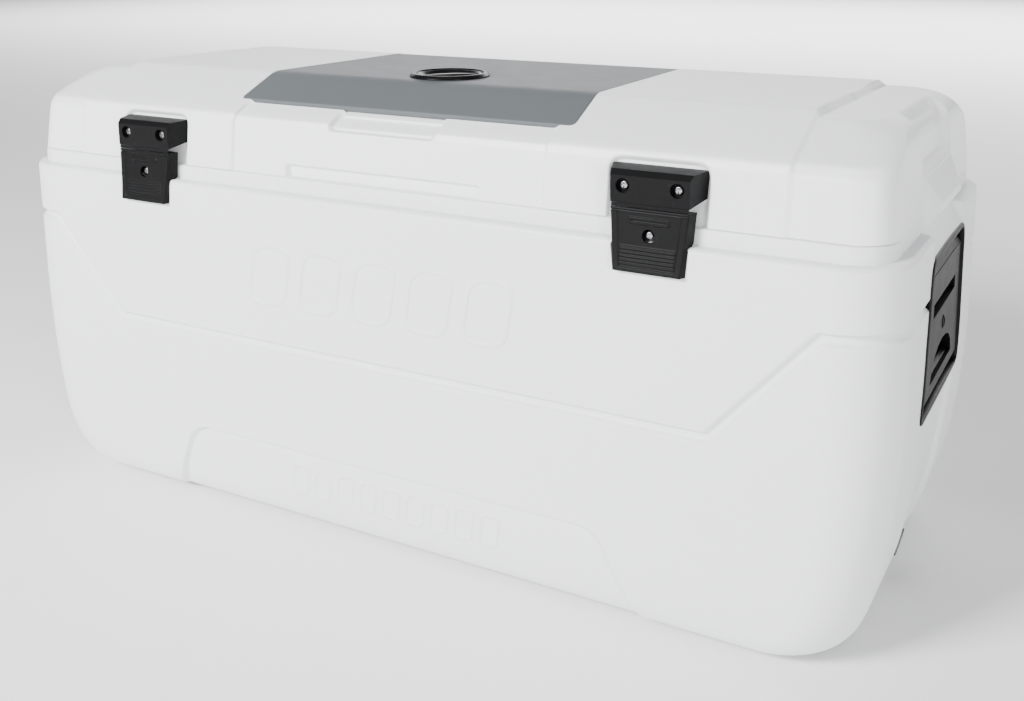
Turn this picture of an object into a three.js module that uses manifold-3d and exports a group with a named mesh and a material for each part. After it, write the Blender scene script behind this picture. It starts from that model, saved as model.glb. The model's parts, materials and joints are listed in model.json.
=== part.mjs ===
// Large insulated chest cooler: foam-filled body and lid, quick-access hatch with a turn knob,
// two front latches, two swing-up end handles, three rear hinges and a drain.
// Millimetres. X runs along the length, -Y is the front, Z is up, and the origin is under the
// middle of the cooler on the surface that it stands on.
import * as THREE from "three";
import { mergeVertices } from "three/addons/utils/BufferGeometryUtils.js";
import Module from "manifold-3d";

const wasm = await Module();
wasm.setup();

// ---------- driving dimensions ----------
// Overall sizes of the moulded body.
const HALF_LENGTH = 540.5;
const HALF_DEPTH = 231;
const LEDGE_Z = 396; // top of the body walls, where the rim stands
const RIM_Z = 412; // top of the rim
const LID_RISE = 102; // crown of the lid above the rim
const FOOT_HEIGHT = 8;

// Walls and fits.
const SKIN = 3.5; // moulded walls
const GAP = 0.3; // between pieces that touch
const FOAM_INSET = SKIN + 7.5; // foam behind the outer surface, clear of grooves and panels
const RUNNING = 0.3; // radial clearance of turning pieces
const LID_GAP = 0.6; // between lid edge and rim

// Body outline.
const CORNER_RADIUS = 63;
const END_SWEEP = 70; // how far the ends curl in at the base
const END_SWEEP_HEIGHT = 262;
const FRONT_SWEEP = 25;
const FRONT_SWEEP_HEIGHT = 80;
const LEDGE_ROUND = 5;
const FOOT = { x: 380, y: 150, halfLength: 60, halfWidth: 26, round: 12 };

// Styling groove and base panel.
const GROOVE = { depth: 5, width: 13, highZ: 332, lowZ: 220, outX: 475, inX: 374 };
const BASE_PANEL = { depth: 5.5, topZ: 101, topHalf: 263, bottomHalf: 305 };

// Rim, tub and foam.
const RIM_INSET_X = 13.5; // rim behind the body walls
const RIM_INSET_Y = 14;
const RIM_WALL = 4;
const RIM_CORNER = 42;
const TUB = {
  halfLength: HALF_LENGTH - 56.5,
  halfDepth: HALF_DEPTH - 51,
  draft: 12,
  corner: 40,
  floorZ: 40,
  wall: 3,
};

// End recess, its bezel and the handle.
const RECESS = { topZ: 372, bottomZ: 214, topHalf: 88, bottomHalf: 101, depth: 37, round: 12 };
const BEZEL = { wall: 2.6, proud: 1.2, bossHalf: 8 };
const SADDLE_HALF = 80;
const CHANNEL = { depth: 6, topHalf: 96, bottomHalf: 62 };
const HANDLE = { side: 4, plate: 9, barrel: 16, grip: 12, gripLift: 17, pivotDrop: 24, flush: 1 };
const HAND_HOLE = { half: 58, height: 32 };
const HANDLE_SLOT = { half: 60, height: 14, drop: 33 };
const HANDLE_ROD_RADIUS = 4;
const BEZEL_SCREW = { y: 72, z: 290, head: 4.5, shank: 2, headHeight: 2.5, length: 12 };

// Lid.
const LID_INSET = 13.5; // lid edge behind the body walls, on the ends
const LID_CORNER = 38;
const LID_WALL_TOP = 54; // height of the steep lid wall above the rim
const CROWN = {
  half: HALF_LENGTH - 102.5,
  wall: HALF_DEPTH - 15.5,
  wallTop: HALF_DEPTH - 22,
  shoulder: HALF_DEPTH - 35,
  flat: HALF_DEPTH - 109.5,
  drop: 6.5,
};
const CROWN_SLOPE = THREE.MathUtils.degToRad(24.4);
const LID_LINER = {
  halfLength: HALF_LENGTH - 62.5,
  halfDepth: HALF_DEPTH - 57,
  rise: 30,
  wall: 3,
  corner: 36,
};
const LID_TAB = { half: 56, rootHalf: 84, reach: 13.5, height: 8, rootHeight: 36 };
const LID_END_CHANNEL = { half: 68, depth: 9, rise: 40, length: 75 };
const FRONT_PANEL = { half: 198, depth: 3 };
const FINGER_NOTCH = { half: 119, rise: 17, depth: 9 };
const LIP_RECESS = { half: 67, height: 21, depth: 7 };

// Hatch.
const HATCH = {
  frontY: 53.4 - HALF_DEPTH,
  rearY: HALF_DEPTH - 100,
  frontHalf: 212.5,
  rearHalf: 203,
  thickness: 7,
  gap: 0.8,
  corner: 7,
};
const THROAT = {
  half: 186,
  frontY: 85 - HALF_DEPTH,
  rearY: HALF_DEPTH - 133,
  wall: 3,
  corner: 14,
};
const PLUG = { clearance: 4, frontClearance: 9, bottomGap: 7, wall: 3 };
const HATCH_PIN = { y: HALF_DEPTH - 110, drop: 6, radius: 2.5, boss: 5.8, inner: 182, end: 214 };
const SEAL = { side: 3.2, front: 6, drop: 44, height: 5 };

// Knob.
const KNOB = {
  y: THROAT.frontY + 76,
  ring: 45,
  ringInner: 38,
  ringRise: 4.5,
  dial: 37.2,
  seat: 4.5,
  shaft: 6,
};
const KNOB_BAR = { half: 34, width: 11, rise: 3, angle: 35 };
const BOLT = { half: 14, thickness: 5, length: 58, front: THROAT.frontY + 6, drop: 30 };

// Latches.
const LATCH_X = 316;
const LATCH = {
  half: 38.8,
  draft: 0.33,
  front: HALF_DEPTH,
  topZ: 461.5,
  bevel: 5,
  hingeZ: 429.5,
  hingeGap: 4,
};
const FLAP = { bottomZ: 367.5, bottomHalf: 33.3, bottomFront: HALF_DEPTH + 7.5, hole: 6.5, holeZ: 403 };
const LATCH_POCKET = { depth: 5, margin: 8 };
const LATCH_SCREW = {
  x: 26.6,
  z: 447,
  sink: 7,
  sinkDepth: 5.5,
  head: 4.5,
  headHeight: 2.6,
  shank: 2,
  end: HALF_DEPTH - 32,
};
const LATCH_INSIDE = HALF_DEPTH - 81; // how far from the middle the cuts for each latch reach
const WEB_THICKNESS = 1.4;
const CATCH = {
  half: 20,
  front: HALF_DEPTH - 4,
  lip: HALF_DEPTH + 1,
  topZ: 410,
  bottomZ: 399,
  pocket: 3.4,
};
const CATCH_SCREW = { head: 4.2, headHeight: 2.4, shank: 1.8 };

// Rear hinges.
const HINGE_XS = [-330, 0, 330];
const HINGE = {
  y: HALF_DEPTH + 2,
  z: 414,
  half: 38,
  knuckle: 5.5,
  pin: 2.6,
  leaf: 2.5,
  bodyDrop: 52,
  lidRise: 42,
};

// Drain.
const DRAIN = { inset: 45.5, z: 42, tilt: 12, bore: 7.5, tube: 10, flange: 18, flangeThick: 2 };
const DRAIN_SEAT = 23; // round flat in the end wall
const DRAIN_NUT = { radius: 13, thickness: 5, start: -31 };
const DRAIN_CAP = { radius: 15, length: 11.5, wall: 2.5 };
const WASHER_THICKNESS = 1.2;
const TETHER = { radius: 0.9, loop: 9 };

// ---------- colours ----------
const WHITE = { color: 0xe6e9ec, roughness: 0.42, metalness: 0 };
const GRAY = { color: 0x8a8f93, roughness: 0.45, metalness: 0 };
const BLACK = { color: 0x1b1b1d, roughness: 0.5, metalness: 0 };
const DRAIN_GRAY = { color: 0x6a6e72, roughness: 0.55, metalness: 0 };
const FOAM = { color: 0xe8d9a8, roughness: 0.95, metalness: 0 };
const STEEL = { color: 0xc8ccd0, roughness: 0.25, metalness: 1 };
const RUBBER = { color: 0x2a2a2c, roughness: 0.8, metalness: 0 };

const LID_Z = RIM_Z + LID_GAP;
const TOP_Z = RIM_Z + LID_RISE;

// ---------- solids ----------
function solid(geometry) {
  const bare = new THREE.BufferGeometry();
  const flat = geometry.index ? geometry.toNonIndexed() : geometry;
  bare.setAttribute("position", flat.getAttribute("position"));
  const merged = mergeVertices(bare, 1e-4);
  return new wasm.Manifold(
    new wasm.Mesh({
      numProp: 3,
      vertProperties: new Float32Array(merged.attributes.position.array),
      triVerts: new Uint32Array(merged.index.array),
    }),
  );
}

function union(...parts) {
  return parts.reduce((sum, part) => sum.add(part));
}

function cut(base, ...tools) {
  return tools.reduce((rest, tool) => rest.subtract(tool), base);
}

const part = new THREE.Group();

function piece(name, shape, look) {
  const made = shape.getMesh();
  const geometry = new THREE.BufferGeometry();
  const count = made.numProp;
  const xyz = new Float32Array(made.numVert * 3);
  for (let i = 0; i < made.numVert; i++) {
    xyz.set(made.vertProperties.subarray(i * count, i * count + 3), i * 3);
  }
  geometry.setAttribute("position", new THREE.BufferAttribute(xyz, 3));
  geometry.setIndex(new THREE.BufferAttribute(new Uint32Array(made.triVerts), 1));
  geometry.computeVertexNormals();
  const mesh = new THREE.Mesh(geometry, new THREE.MeshStandardMaterial(look));
  mesh.name = name;
  part.add(mesh);
  return mesh;
}

// A rounded rectangle in the XY plane as a list of points, corner by corner.
function roundedRect(halfX, halfY, radius, steps = 4) {
  const r = Math.min(radius, halfX - 1, halfY - 1);
  const points = [];
  for (let corner = 0; corner < 4; corner++) {
    const cx = (corner === 0 || corner === 3 ? 1 : -1) * (halfX - r);
    const cy = (corner < 2 ? 1 : -1) * (halfY - r);
    for (let i = 0; i <= steps; i++) {
      const angle = ((corner + i / steps) * Math.PI) / 2;
      points.push([cx + r * Math.cos(angle), cy + r * Math.sin(angle)]);
    }
  }
  return points;
}

// A closed skin through rings of equal point counts, from the lowest ring to the highest.
function skinRings(rings) {
  const n = rings[0].length;
  const xyz = rings.flat(2);
  const middle = (ring) => [0, 1, 2].map((k) => ring.reduce((s, p) => s + p[k], 0) / n);
  xyz.push(...middle(rings[0]), ...middle(rings[rings.length - 1]));
  const bottom = rings.length * n;
  const index = [];
  for (let j = 0; j < n; j++) {
    const next = (j + 1) % n;
    for (let i = 0; i + 1 < rings.length; i++) {
      const a = i * n + j;
      const b = i * n + next;
      index.push(a, b, b + n, a, b + n, a + n);
    }
    index.push(bottom, next, j);
    index.push(bottom + 1, (rings.length - 1) * n + j, (rings.length - 1) * n + next);
  }
  const geometry = new THREE.BufferGeometry();
  geometry.setAttribute("position", new THREE.Float32BufferAttribute(xyz, 3));
  geometry.setIndex(index);
  return solid(geometry);
}

// levels: { z, x, y, r } give half sizes of each ring.
function loft(levels, steps) {
  return skinRings(
    levels.map(({ z, x, y, r }) => roundedRect(x, y, r, steps).map(([px, py]) => [px, py, z])),
  );
}

function box(x0, x1, y0, y1, z0, z1) {
  const geometry = new THREE.BoxGeometry(x1 - x0, y1 - y0, z1 - z0);
  geometry.translate((x0 + x1) / 2, (y0 + y1) / 2, (z0 + z1) / 2);
  return solid(geometry);
}

function shapeOf(points) {
  return new THREE.Shape(points.map(([u, v]) => new THREE.Vector2(u, v)));
}

function extrude(shape, length, curveSegments = 3) {
  return new THREE.ExtrudeGeometry(shape, { depth: length, bevelEnabled: false, curveSegments });
}

// An outline in the YZ plane, extruded from x0 to x1.
function alongX(shape, x0, x1, curveSegments) {
  const geometry = extrude(shape, x1 - x0, curveSegments);
  geometry.applyMatrix4(new THREE.Matrix4().set(0, 0, 1, x0, 1, 0, 0, 0, 0, 1, 0, 0, 0, 0, 0, 1));
  return solid(geometry);
}

// An outline in the XZ plane, extruded from y0 to y1.
function alongY(shape, y0, y1, curveSegments) {
  const geometry = extrude(shape, y1 - y0, curveSegments);
  geometry.applyMatrix4(new THREE.Matrix4().set(1, 0, 0, 0, 0, 0, -1, y1, 0, 1, 0, 0, 0, 0, 0, 1));
  return solid(geometry);
}

// An outline in the XY plane, extruded from z0 to z1.
function alongZ(shape, z0, z1, curveSegments) {
  const geometry = extrude(shape, z1 - z0, curveSegments);
  geometry.translate(0, 0, z0);
  return solid(geometry);
}

const QUARTER = Math.PI / 2;
const SPINS = { x: [0, 0, -QUARTER], y: [0, 0, 0], z: [QUARTER, 0, 0] };

// A cylinder that starts at (x, y, z) and runs along one axis.
function rod(axis, x, y, z, radius, length, sides = 16, tip = radius) {
  const geometry = new THREE.CylinderGeometry(tip, radius, length, sides);
  geometry.translate(0, length / 2, 0);
  const [rx, ry, rz] = SPINS[axis];
  geometry.applyMatrix4(new THREE.Matrix4().makeRotationFromEuler(new THREE.Euler(rx, ry, rz)));
  geometry.translate(x, y, z);
  return solid(geometry);
}

function mirrorX(shape) {
  return shape.mirror([1, 0, 0]);
}

// ---------- body ----------
// The outer surface of the body, moved inwards by inset.
function bodyBlock(inset) {
  const levels = [];
  for (const t of [0, 0.02, 0.07, 0.17, 0.34, 0.6, 1]) {
    const lean = Math.acos(Math.min(1, Math.pow(t, 0.35)));
    const endShare = Math.pow(1 - (1 - t) ** 2, 0.4);
    const z = FOOT_HEIGHT + t * END_SWEEP_HEIGHT;
    const s = Math.min(1, (z - FOOT_HEIGHT) / FRONT_SWEEP_HEIGHT);
    const frontShare = Math.sqrt(1 - (1 - s) ** 2);
    levels.push({
      z: z + inset * Math.sin(lean),
      x: HALF_LENGTH - END_SWEEP * (1 - endShare) - inset,
      y: HALF_DEPTH - FRONT_SWEEP * (1 - frontShare) - inset,
      r: CORNER_RADIUS - inset,
    });
  }
  const top = { x: HALF_LENGTH - inset, y: HALF_DEPTH - inset, r: CORNER_RADIUS - inset };
  const edge = LEDGE_ROUND * (1 - Math.SQRT1_2);
  levels.push({ ...top, z: LEDGE_Z - LEDGE_ROUND - inset });
  levels.push({
    z: LEDGE_Z - edge - inset,
    x: top.x - edge,
    y: top.y - edge,
    r: top.r - edge,
  });
  levels.push({
    z: LEDGE_Z - inset,
    x: top.x - LEDGE_ROUND,
    y: top.y - LEDGE_ROUND,
    r: top.r - LEDGE_ROUND,
  });
  return loft(levels);
}

// The groove's course in the XZ plane: level at the ends, slanting down to a low middle run.
function grooveOutline(grow) {
  const half = GROOVE.width / 2 + grow;
  const slope = Math.atan2(GROOVE.highZ - GROOVE.lowZ, GROOVE.outX - GROOVE.inX);
  const shift = half * Math.tan(slope / 2);
  const far = HALF_LENGTH + 20;
  const edge = (side) => [
    [far, GROOVE.highZ + side * half],
    [GROOVE.outX - side * shift, GROOVE.highZ + side * half],
    [GROOVE.inX - side * shift, GROOVE.lowZ + side * half],
  ];
  const mirrored = (points) => points.map(([x, z]) => [-x, z]);
  const upper = [...edge(1), ...mirrored(edge(1)).reverse()];
  const lower = [...edge(-1), ...mirrored(edge(-1)).reverse()];
  return shapeOf([...upper, ...lower.reverse()]);
}

function basePanelOutline(grow) {
  const top = BASE_PANEL.topZ + grow;
  return shapeOf([
    [-BASE_PANEL.bottomHalf - grow, -grow - 20],
    [BASE_PANEL.bottomHalf + grow, -grow - 20],
    [BASE_PANEL.bottomHalf + grow, FOOT_HEIGHT],
    [BASE_PANEL.topHalf + grow, top],
    [-BASE_PANEL.topHalf - grow, top],
    [-BASE_PANEL.bottomHalf - grow, FOOT_HEIGHT],
  ]);
}

// The end recess in the YZ plane, with round corners.
function recessOutline(grow) {
  const top = RECESS.topZ + grow;
  const bottom = RECESS.bottomZ - grow;
  const topHalf = RECESS.topHalf + grow;
  const bottomHalf = RECESS.bottomHalf + grow;
  const r = Math.max(2, RECESS.round + grow);
  const lean = (bottomHalf - topHalf) / (top - bottom);
  const shape = new THREE.Shape();
  shape.moveTo(-bottomHalf + r, bottom);
  shape.lineTo(bottomHalf - r, bottom);
  shape.quadraticCurveTo(bottomHalf, bottom, bottomHalf - r * lean, bottom + r);
  shape.lineTo(topHalf + r * lean, top - r);
  shape.quadraticCurveTo(topHalf, top, topHalf - r, top);
  shape.lineTo(-topHalf + r, top);
  shape.quadraticCurveTo(-topHalf, top, -topHalf - r * lean, top - r);
  shape.lineTo(-bottomHalf + r * lean, bottom + r);
  shape.quadraticCurveTo(-bottomHalf, bottom, -bottomHalf + r, bottom);
  return shape;
}

function channelOutline(grow) {
  return shapeOf([
    [-CHANNEL.bottomHalf - grow, -20],
    [CHANNEL.bottomHalf + grow, -20],
    [CHANNEL.bottomHalf + grow, FOOT_HEIGHT],
    [CHANNEL.topHalf + grow, RECESS.bottomZ + 20],
    [-CHANNEL.topHalf - grow, RECESS.bottomZ + 20],
    [-CHANNEL.bottomHalf - grow, FOOT_HEIGHT],
  ]);
}

// The slope between the ears, from the rim down to the top of the recess.
function saddle(grow) {
  const inner = HALF_LENGTH - RIM_INSET_X;
  const shape = shapeOf([
    [inner - grow, LEDGE_Z + 30],
    [inner - grow, LEDGE_Z - grow],
    [HALF_LENGTH + 10, RECESS.topZ - 17 - grow],
    [HALF_LENGTH + 60, RECESS.topZ - 17 - grow],
    [HALF_LENGTH + 60, LEDGE_Z + 30],
  ]);
  return alongY(shape, -SADDLE_HALF - grow, SADDLE_HALF + grow);
}

const farX = HALF_LENGTH + 60;
const farY = HALF_DEPTH + 60;

// Everything that is taken off the outer surface of the body, grown by the wall behind it.
function bodyHollows(grow) {
  const groove = alongY(grooveOutline(grow), -farY, farY);
  const panel = alongY(basePanelOutline(grow), -farY, farY);
  const channel = alongX(channelOutline(grow), -farX, farX);
  const endRecess = alongX(recessOutline(grow), HALF_LENGTH - RECESS.depth - grow, farX);
  const slope = saddle(grow);
  return union(
    groove.subtract(bodyBlock(GROOVE.depth + grow)),
    panel.subtract(bodyBlock(BASE_PANEL.depth + grow)),
    channel
      .subtract(bodyBlock(CHANNEL.depth + grow))
      .subtract(box(-HALF_LENGTH / 2, HALF_LENGTH / 2, -farY, farY, -99, LEDGE_Z)),
    endRecess,
    mirrorX(endRecess),
    slope,
    mirrorX(slope),
    drainRod(-grow, 60, DRAIN_SEAT + grow, 20),
  );
}

const neck = { x: HALF_LENGTH - RIM_INSET_X, y: HALF_DEPTH - RIM_INSET_Y, r: RIM_CORNER };

function neckPrism(inset, z0, z1) {
  const ring = { x: neck.x - inset, y: neck.y - inset, r: neck.r - inset };
  return loft([
    { ...ring, z: z0 },
    { ...ring, z: z1 },
  ]);
}

function tubBlock(grow) {
  const low = TUB.halfLength - TUB.draft + grow;
  return loft([
    { z: TUB.floorZ - grow, x: low - 10, y: TUB.halfDepth - TUB.draft - 10 + grow, r: TUB.corner },
    { z: TUB.floorZ + 10 - grow, x: low, y: TUB.halfDepth - TUB.draft + grow, r: TUB.corner },
    { z: RIM_Z + 20, x: TUB.halfLength + grow, y: TUB.halfDepth + grow, r: TUB.corner + grow },
  ]);
}

const drainAngle = THREE.MathUtils.degToRad(DRAIN.tilt);
const drainX = HALF_LENGTH - DRAIN.inset;

// A cylinder on the drain's axis: start and length are measured outwards from the end wall.
function drainRod(start, length, radius, sides = 16) {
  const geometry = new THREE.CylinderGeometry(radius, radius, length, sides);
  geometry.translate(0, start + length / 2, 0);
  geometry.rotateZ(-QUARTER);
  geometry.rotateY(drainAngle);
  geometry.translate(drainX, 0, DRAIN.z);
  return solid(geometry);
}

// A cylinder on the drain's axis that passes through everything around it.
function drainThrough(radius) {
  return drainRod(-80, 160, radius);
}

function bodyOuterShell() {
  const outer = bodyBlock(0).subtract(bodyHollows(0));
  const inner = bodyBlock(SKIN).subtract(bodyHollows(SKIN));
  const mouth = neckPrism(RIM_WALL + 5, LEDGE_Z - 20, LEDGE_Z + 20);
  let shell = cut(outer, inner, mouth, drainThrough(DRAIN.tube + GAP));
  for (const sx of [-1, 1]) {
    for (const sy of [-1, 1]) {
      const pad = loft([
        { z: 0, x: FOOT.halfLength - 2, y: FOOT.halfWidth - 2, r: FOOT.round },
        { z: 2, x: FOOT.halfLength, y: FOOT.halfWidth, r: FOOT.round },
        { z: FOOT_HEIGHT + 1, x: FOOT.halfLength + 1, y: FOOT.halfWidth + 1, r: FOOT.round },
      ]);
      shell = shell.add(pad.translate([sx * FOOT.x, sy * FOOT.y, 0]));
    }
  }
  return shell;
}

function bodyLiner() {
  const rim = neckPrism(0, LEDGE_Z + GAP, RIM_Z);
  const under = neckPrism(RIM_WALL, LEDGE_Z - 5, RIM_Z - RIM_WALL);
  const tub = tubBlock(TUB.wall).intersect(box(-farX, farX, -farY, farY, 0, RIM_Z));
  return cut(rim.subtract(under).add(tub), tubBlock(0), drainThrough(DRAIN.tube + GAP));
}

function bodyInsulation() {
  const grow = SKIN + GAP;
  const recess = alongX(recessOutline(grow), HALF_LENGTH - RECESS.depth - grow, farX);
  const slope = saddle(grow);
  const ends = union(recess, mirrorX(recess), slope, mirrorX(slope));
  const collar = neckPrism(RIM_WALL + 5 + GAP, LEDGE_Z - 20, RIM_Z - RIM_WALL - GAP);
  return cut(
    bodyBlock(FOAM_INSET).subtract(ends).add(collar),
    tubBlock(TUB.wall + GAP),
    drainThrough(DRAIN.tube + 2),
    drainRod(-grow, 60, DRAIN_SEAT + grow, 20),
  );
}

// Screw holes through the end walls behind each bezel, and through the lid behind each bracket.
function bezelScrewAt(sx, sy, radius, start, length) {
  const back = HALF_LENGTH - RECESS.depth;
  const made = rod("x", back + start, sy * BEZEL_SCREW.y, BEZEL_SCREW.z, radius, length, 10);
  return sx < 0 ? mirrorX(made) : made;
}

function bezelScrew(sx, sy) {
  const { head, headHeight, shank, length } = BEZEL_SCREW;
  const back = BEZEL.wall + 2 * GAP;
  const top = bezelScrewAt(sx, sy, head, back, headHeight);
  return top.add(bezelScrewAt(sx, sy, shank, back - length, length + 1));
}

function bezelScrewHoles(radius) {
  const holes = [-1, 1].flatMap((sx) => [-1, 1].map((sy) => bezelScrewAt(sx, sy, radius, -20, 40)));
  return union(...holes);
}

// ---------- handles ----------
const pivot = {
  x: HALF_LENGTH - HANDLE.flush - HANDLE.barrel,
  z: RECESS.topZ - HANDLE.pivotDrop,
};
const recessLean = (RECESS.bottomHalf - RECESS.topHalf) / (RECESS.topZ - RECESS.bottomZ);
const recessHalfAt = (z) => RECESS.topHalf + (RECESS.topZ - z) * recessLean;
const handleHalfAt = (z) => recessHalfAt(z) - BEZEL.wall - GAP - HANDLE.side;
const bossHalf = handleHalfAt(pivot.z) + 2 * GAP;

function handleBezel() {
  const back = HALF_LENGTH - RECESS.depth + GAP;
  const inside = alongX(recessOutline(-GAP - BEZEL.wall), back + BEZEL.wall, farX);
  const tray = alongX(recessOutline(-GAP), back, farX).intersect(bodyBlock(-BEZEL.proud));
  const outer = recessHalfAt(pivot.z) - GAP - 1;
  const low = pivot.z - BEZEL.bossHalf;
  const boss = box(back + 1, pivot.x + BEZEL.bossHalf - 1, bossHalf, outer, low, low + 2 * BEZEL.bossHalf);
  const screwHoles = bezelScrewHoles(BEZEL_SCREW.shank + GAP);
  const bore = rod("y", pivot.x, -outer - 5, pivot.z, HANDLE_ROD_RADIUS + RUNNING, 2 * outer + 10);
  const slope = saddle(GAP);
  const shell = union(tray.subtract(inside), boss, boss.mirror([0, 1, 0]));
  return cut(shell, bore, slope, screwHoles);
}

function handleRod() {
  const half = recessHalfAt(pivot.z) - GAP - 1.5;
  return rod("y", pivot.x, -half, pivot.z, HANDLE_ROD_RADIUS, 2 * half);
}

function handleGrip() {
  const gripZ = RECESS.bottomZ + HANDLE.gripLift;
  const top = pivot.z + 4;
  const outline = shapeOf([
    [-handleHalfAt(gripZ), gripZ],
    [handleHalfAt(gripZ), gripZ],
    [handleHalfAt(top), top],
    [-handleHalfAt(top), top],
  ]);
  const hole = new THREE.Path();
  const sill = gripZ + HANDLE.grip * 0.75;
  hole.moveTo(-HAND_HOLE.half, sill);
  hole.lineTo(HAND_HOLE.half, sill);
  hole.bezierCurveTo(
    HAND_HOLE.half, sill + HAND_HOLE.height * 1.3,
    -HAND_HOLE.half, sill + HAND_HOLE.height * 1.3,
    -HAND_HOLE.half, sill,
  );
  outline.holes.push(hole);
  const slot = new THREE.Path();
  const slotTop = pivot.z - HANDLE_SLOT.drop + HANDLE_SLOT.height / 2;
  slot.moveTo(-HANDLE_SLOT.half, slotTop - HANDLE_SLOT.height);
  slot.lineTo(HANDLE_SLOT.half, slotTop - HANDLE_SLOT.height);
  slot.lineTo(HANDLE_SLOT.half, slotTop);
  slot.lineTo(-HANDLE_SLOT.half, slotTop);
  outline.holes.push(slot);
  const face = HALF_LENGTH - HANDLE.flush;
  const plate = alongX(outline, face - HANDLE.plate, face, 8);
  const barrelHalf = handleHalfAt(pivot.z);
  const barrel = rod("y", pivot.x, -barrelHalf, pivot.z, HANDLE.barrel, 2 * barrelHalf, 20);
  const gripHalf = handleHalfAt(gripZ);
  const grip = rod("y", face - HANDLE.grip, -gripHalf, gripZ, HANDLE.grip, 2 * gripHalf, 20);
  const bore = rod("y", pivot.x, -200, pivot.z, HANDLE_ROD_RADIUS + RUNNING, 400);
  return union(plate, barrel, grip).subtract(bore);
}

// ---------- lid ----------
const wallTopZ = LID_Z + LID_WALL_TOP;
const wallHalfAt = (z) => CROWN.wall - ((z - LID_Z) / LID_WALL_TOP) * (CROWN.wall - CROWN.wallTop);

// The end shoulders of the lid, moved inwards by inset and running down to floorZ.
function lidShoulders(inset, floorZ) {
  const x = HALF_LENGTH - LID_INSET;
  const top = TOP_Z - CROWN.drop;
  const slopeY = (z) => CROWN.flat + (TOP_Z - z) / Math.tan(CROWN_SLOPE);
  const lower = (z, drop) => ((z - LID_Z) / LID_WALL_TOP) * drop;
  const rings = [
    [floorZ, x - lower(floorZ, 4), wallHalfAt(floorZ) - 2, 0],
    [wallTopZ, x - 4, CROWN.wallTop - 2, 0.1],
    [wallTopZ + 8, x - 5, CROWN.wallTop - 7, 0.5],
    [wallTopZ + 19, x - 7, slopeY(wallTopZ + 19), 1.15],
    [top - 10, x - 14, slopeY(top - 10), 1.15],
    [top - 3.5, x - 22, slopeY(top - 3.5), 1.15],
    [top, x - 34, slopeY(top), 1.3],
  ];
  return loft(
    rings.map(([z, halfX, halfY, lean]) => ({
      z: z - inset * Math.sin(lean),
      x: halfX - inset * Math.max(0.7, Math.cos(lean)),
      y: halfY - inset * Math.cos(lean),
      r: LID_CORNER - inset,
    })),
  );
}

// The raised middle of the lid: one section along most of its length.
function crownSection(inset, floorZ) {
  const sink = inset * Math.cos(CROWN_SLOPE);
  const pull = inset * Math.sin(CROWN_SLOPE);
  const slopeZ = (y) => TOP_Z - (y - CROWN.flat) * Math.tan(CROWN_SLOPE);
  const shape = new THREE.Shape();
  shape.moveTo(-(wallHalfAt(floorZ) - inset), floorZ);
  shape.lineTo(wallHalfAt(floorZ) - inset, floorZ);
  shape.lineTo(CROWN.wallTop - inset, wallTopZ);
  const shoulder = [CROWN.shoulder - pull, slopeZ(CROWN.shoulder) - sink];
  const bend = [CROWN.flat + 8 - pull, slopeZ(CROWN.flat + 8) - sink];
  const flat = [CROWN.flat - 8, TOP_Z - inset];
  const corner = [CROWN.wallTop - 1.2 - inset, wallTopZ + 9 - inset / 2];
  shape.quadraticCurveTo(corner[0], corner[1], shoulder[0], shoulder[1]);
  shape.lineTo(bend[0], bend[1]);
  shape.quadraticCurveTo(CROWN.flat - pull / 2, TOP_Z - inset, flat[0], flat[1]);
  shape.lineTo(-flat[0], flat[1]);
  shape.quadraticCurveTo(-CROWN.flat + pull / 2, TOP_Z - inset, -bend[0], bend[1]);
  shape.lineTo(-shoulder[0], shoulder[1]);
  shape.quadraticCurveTo(-corner[0], corner[1], -(CROWN.wallTop - inset), wallTopZ);
  return shape;
}

function crownBlock(inset, floorZ = LID_Z, half = CROWN.half - inset) {
  return alongX(crownSection(inset, floorZ), -half, half);
}

function lidBlock(inset, floorZ) {
  return lidShoulders(inset, floorZ).add(crownBlock(inset, floorZ));
}

// The hatch's outline seen from above, grown by a margin.
function hatchOutline(grow) {
  const slant = (HATCH.frontHalf - HATCH.rearHalf) / (HATCH.rearY - HATCH.frontY);
  const front = HATCH.frontY - grow;
  const rear = HATCH.rearY + grow;
  const halfAt = (y) => HATCH.frontHalf + grow - (y - HATCH.frontY) * slant;
  const r = HATCH.corner + grow;
  const shape = new THREE.Shape();
  shape.moveTo(-halfAt(front) + r, front);
  shape.lineTo(halfAt(front) - r, front);
  shape.quadraticCurveTo(halfAt(front), front, halfAt(front + r), front + r);
  shape.lineTo(halfAt(rear - r), rear - r);
  shape.quadraticCurveTo(halfAt(rear), rear, halfAt(rear) - r, rear);
  shape.lineTo(-halfAt(rear) + r, rear);
  shape.quadraticCurveTo(-halfAt(rear), rear, -halfAt(rear - r), rear - r);
  shape.lineTo(-halfAt(front + r), front + r);
  shape.quadraticCurveTo(-halfAt(front), front, -halfAt(front) + r, front);
  return shape;
}

// The round trough in which the rear edge of the hatch turns.
function hingeRelief(grow) {
  const half = HATCH.rearHalf + HATCH.gap + grow;
  const radius = HATCH.rearY - HATCH_PIN.y + HATCH.gap * 3 + grow;
  return rod("x", -half, HATCH_PIN.y, TOP_Z - HATCH_PIN.drop, radius, 2 * half, 20);
}

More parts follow.
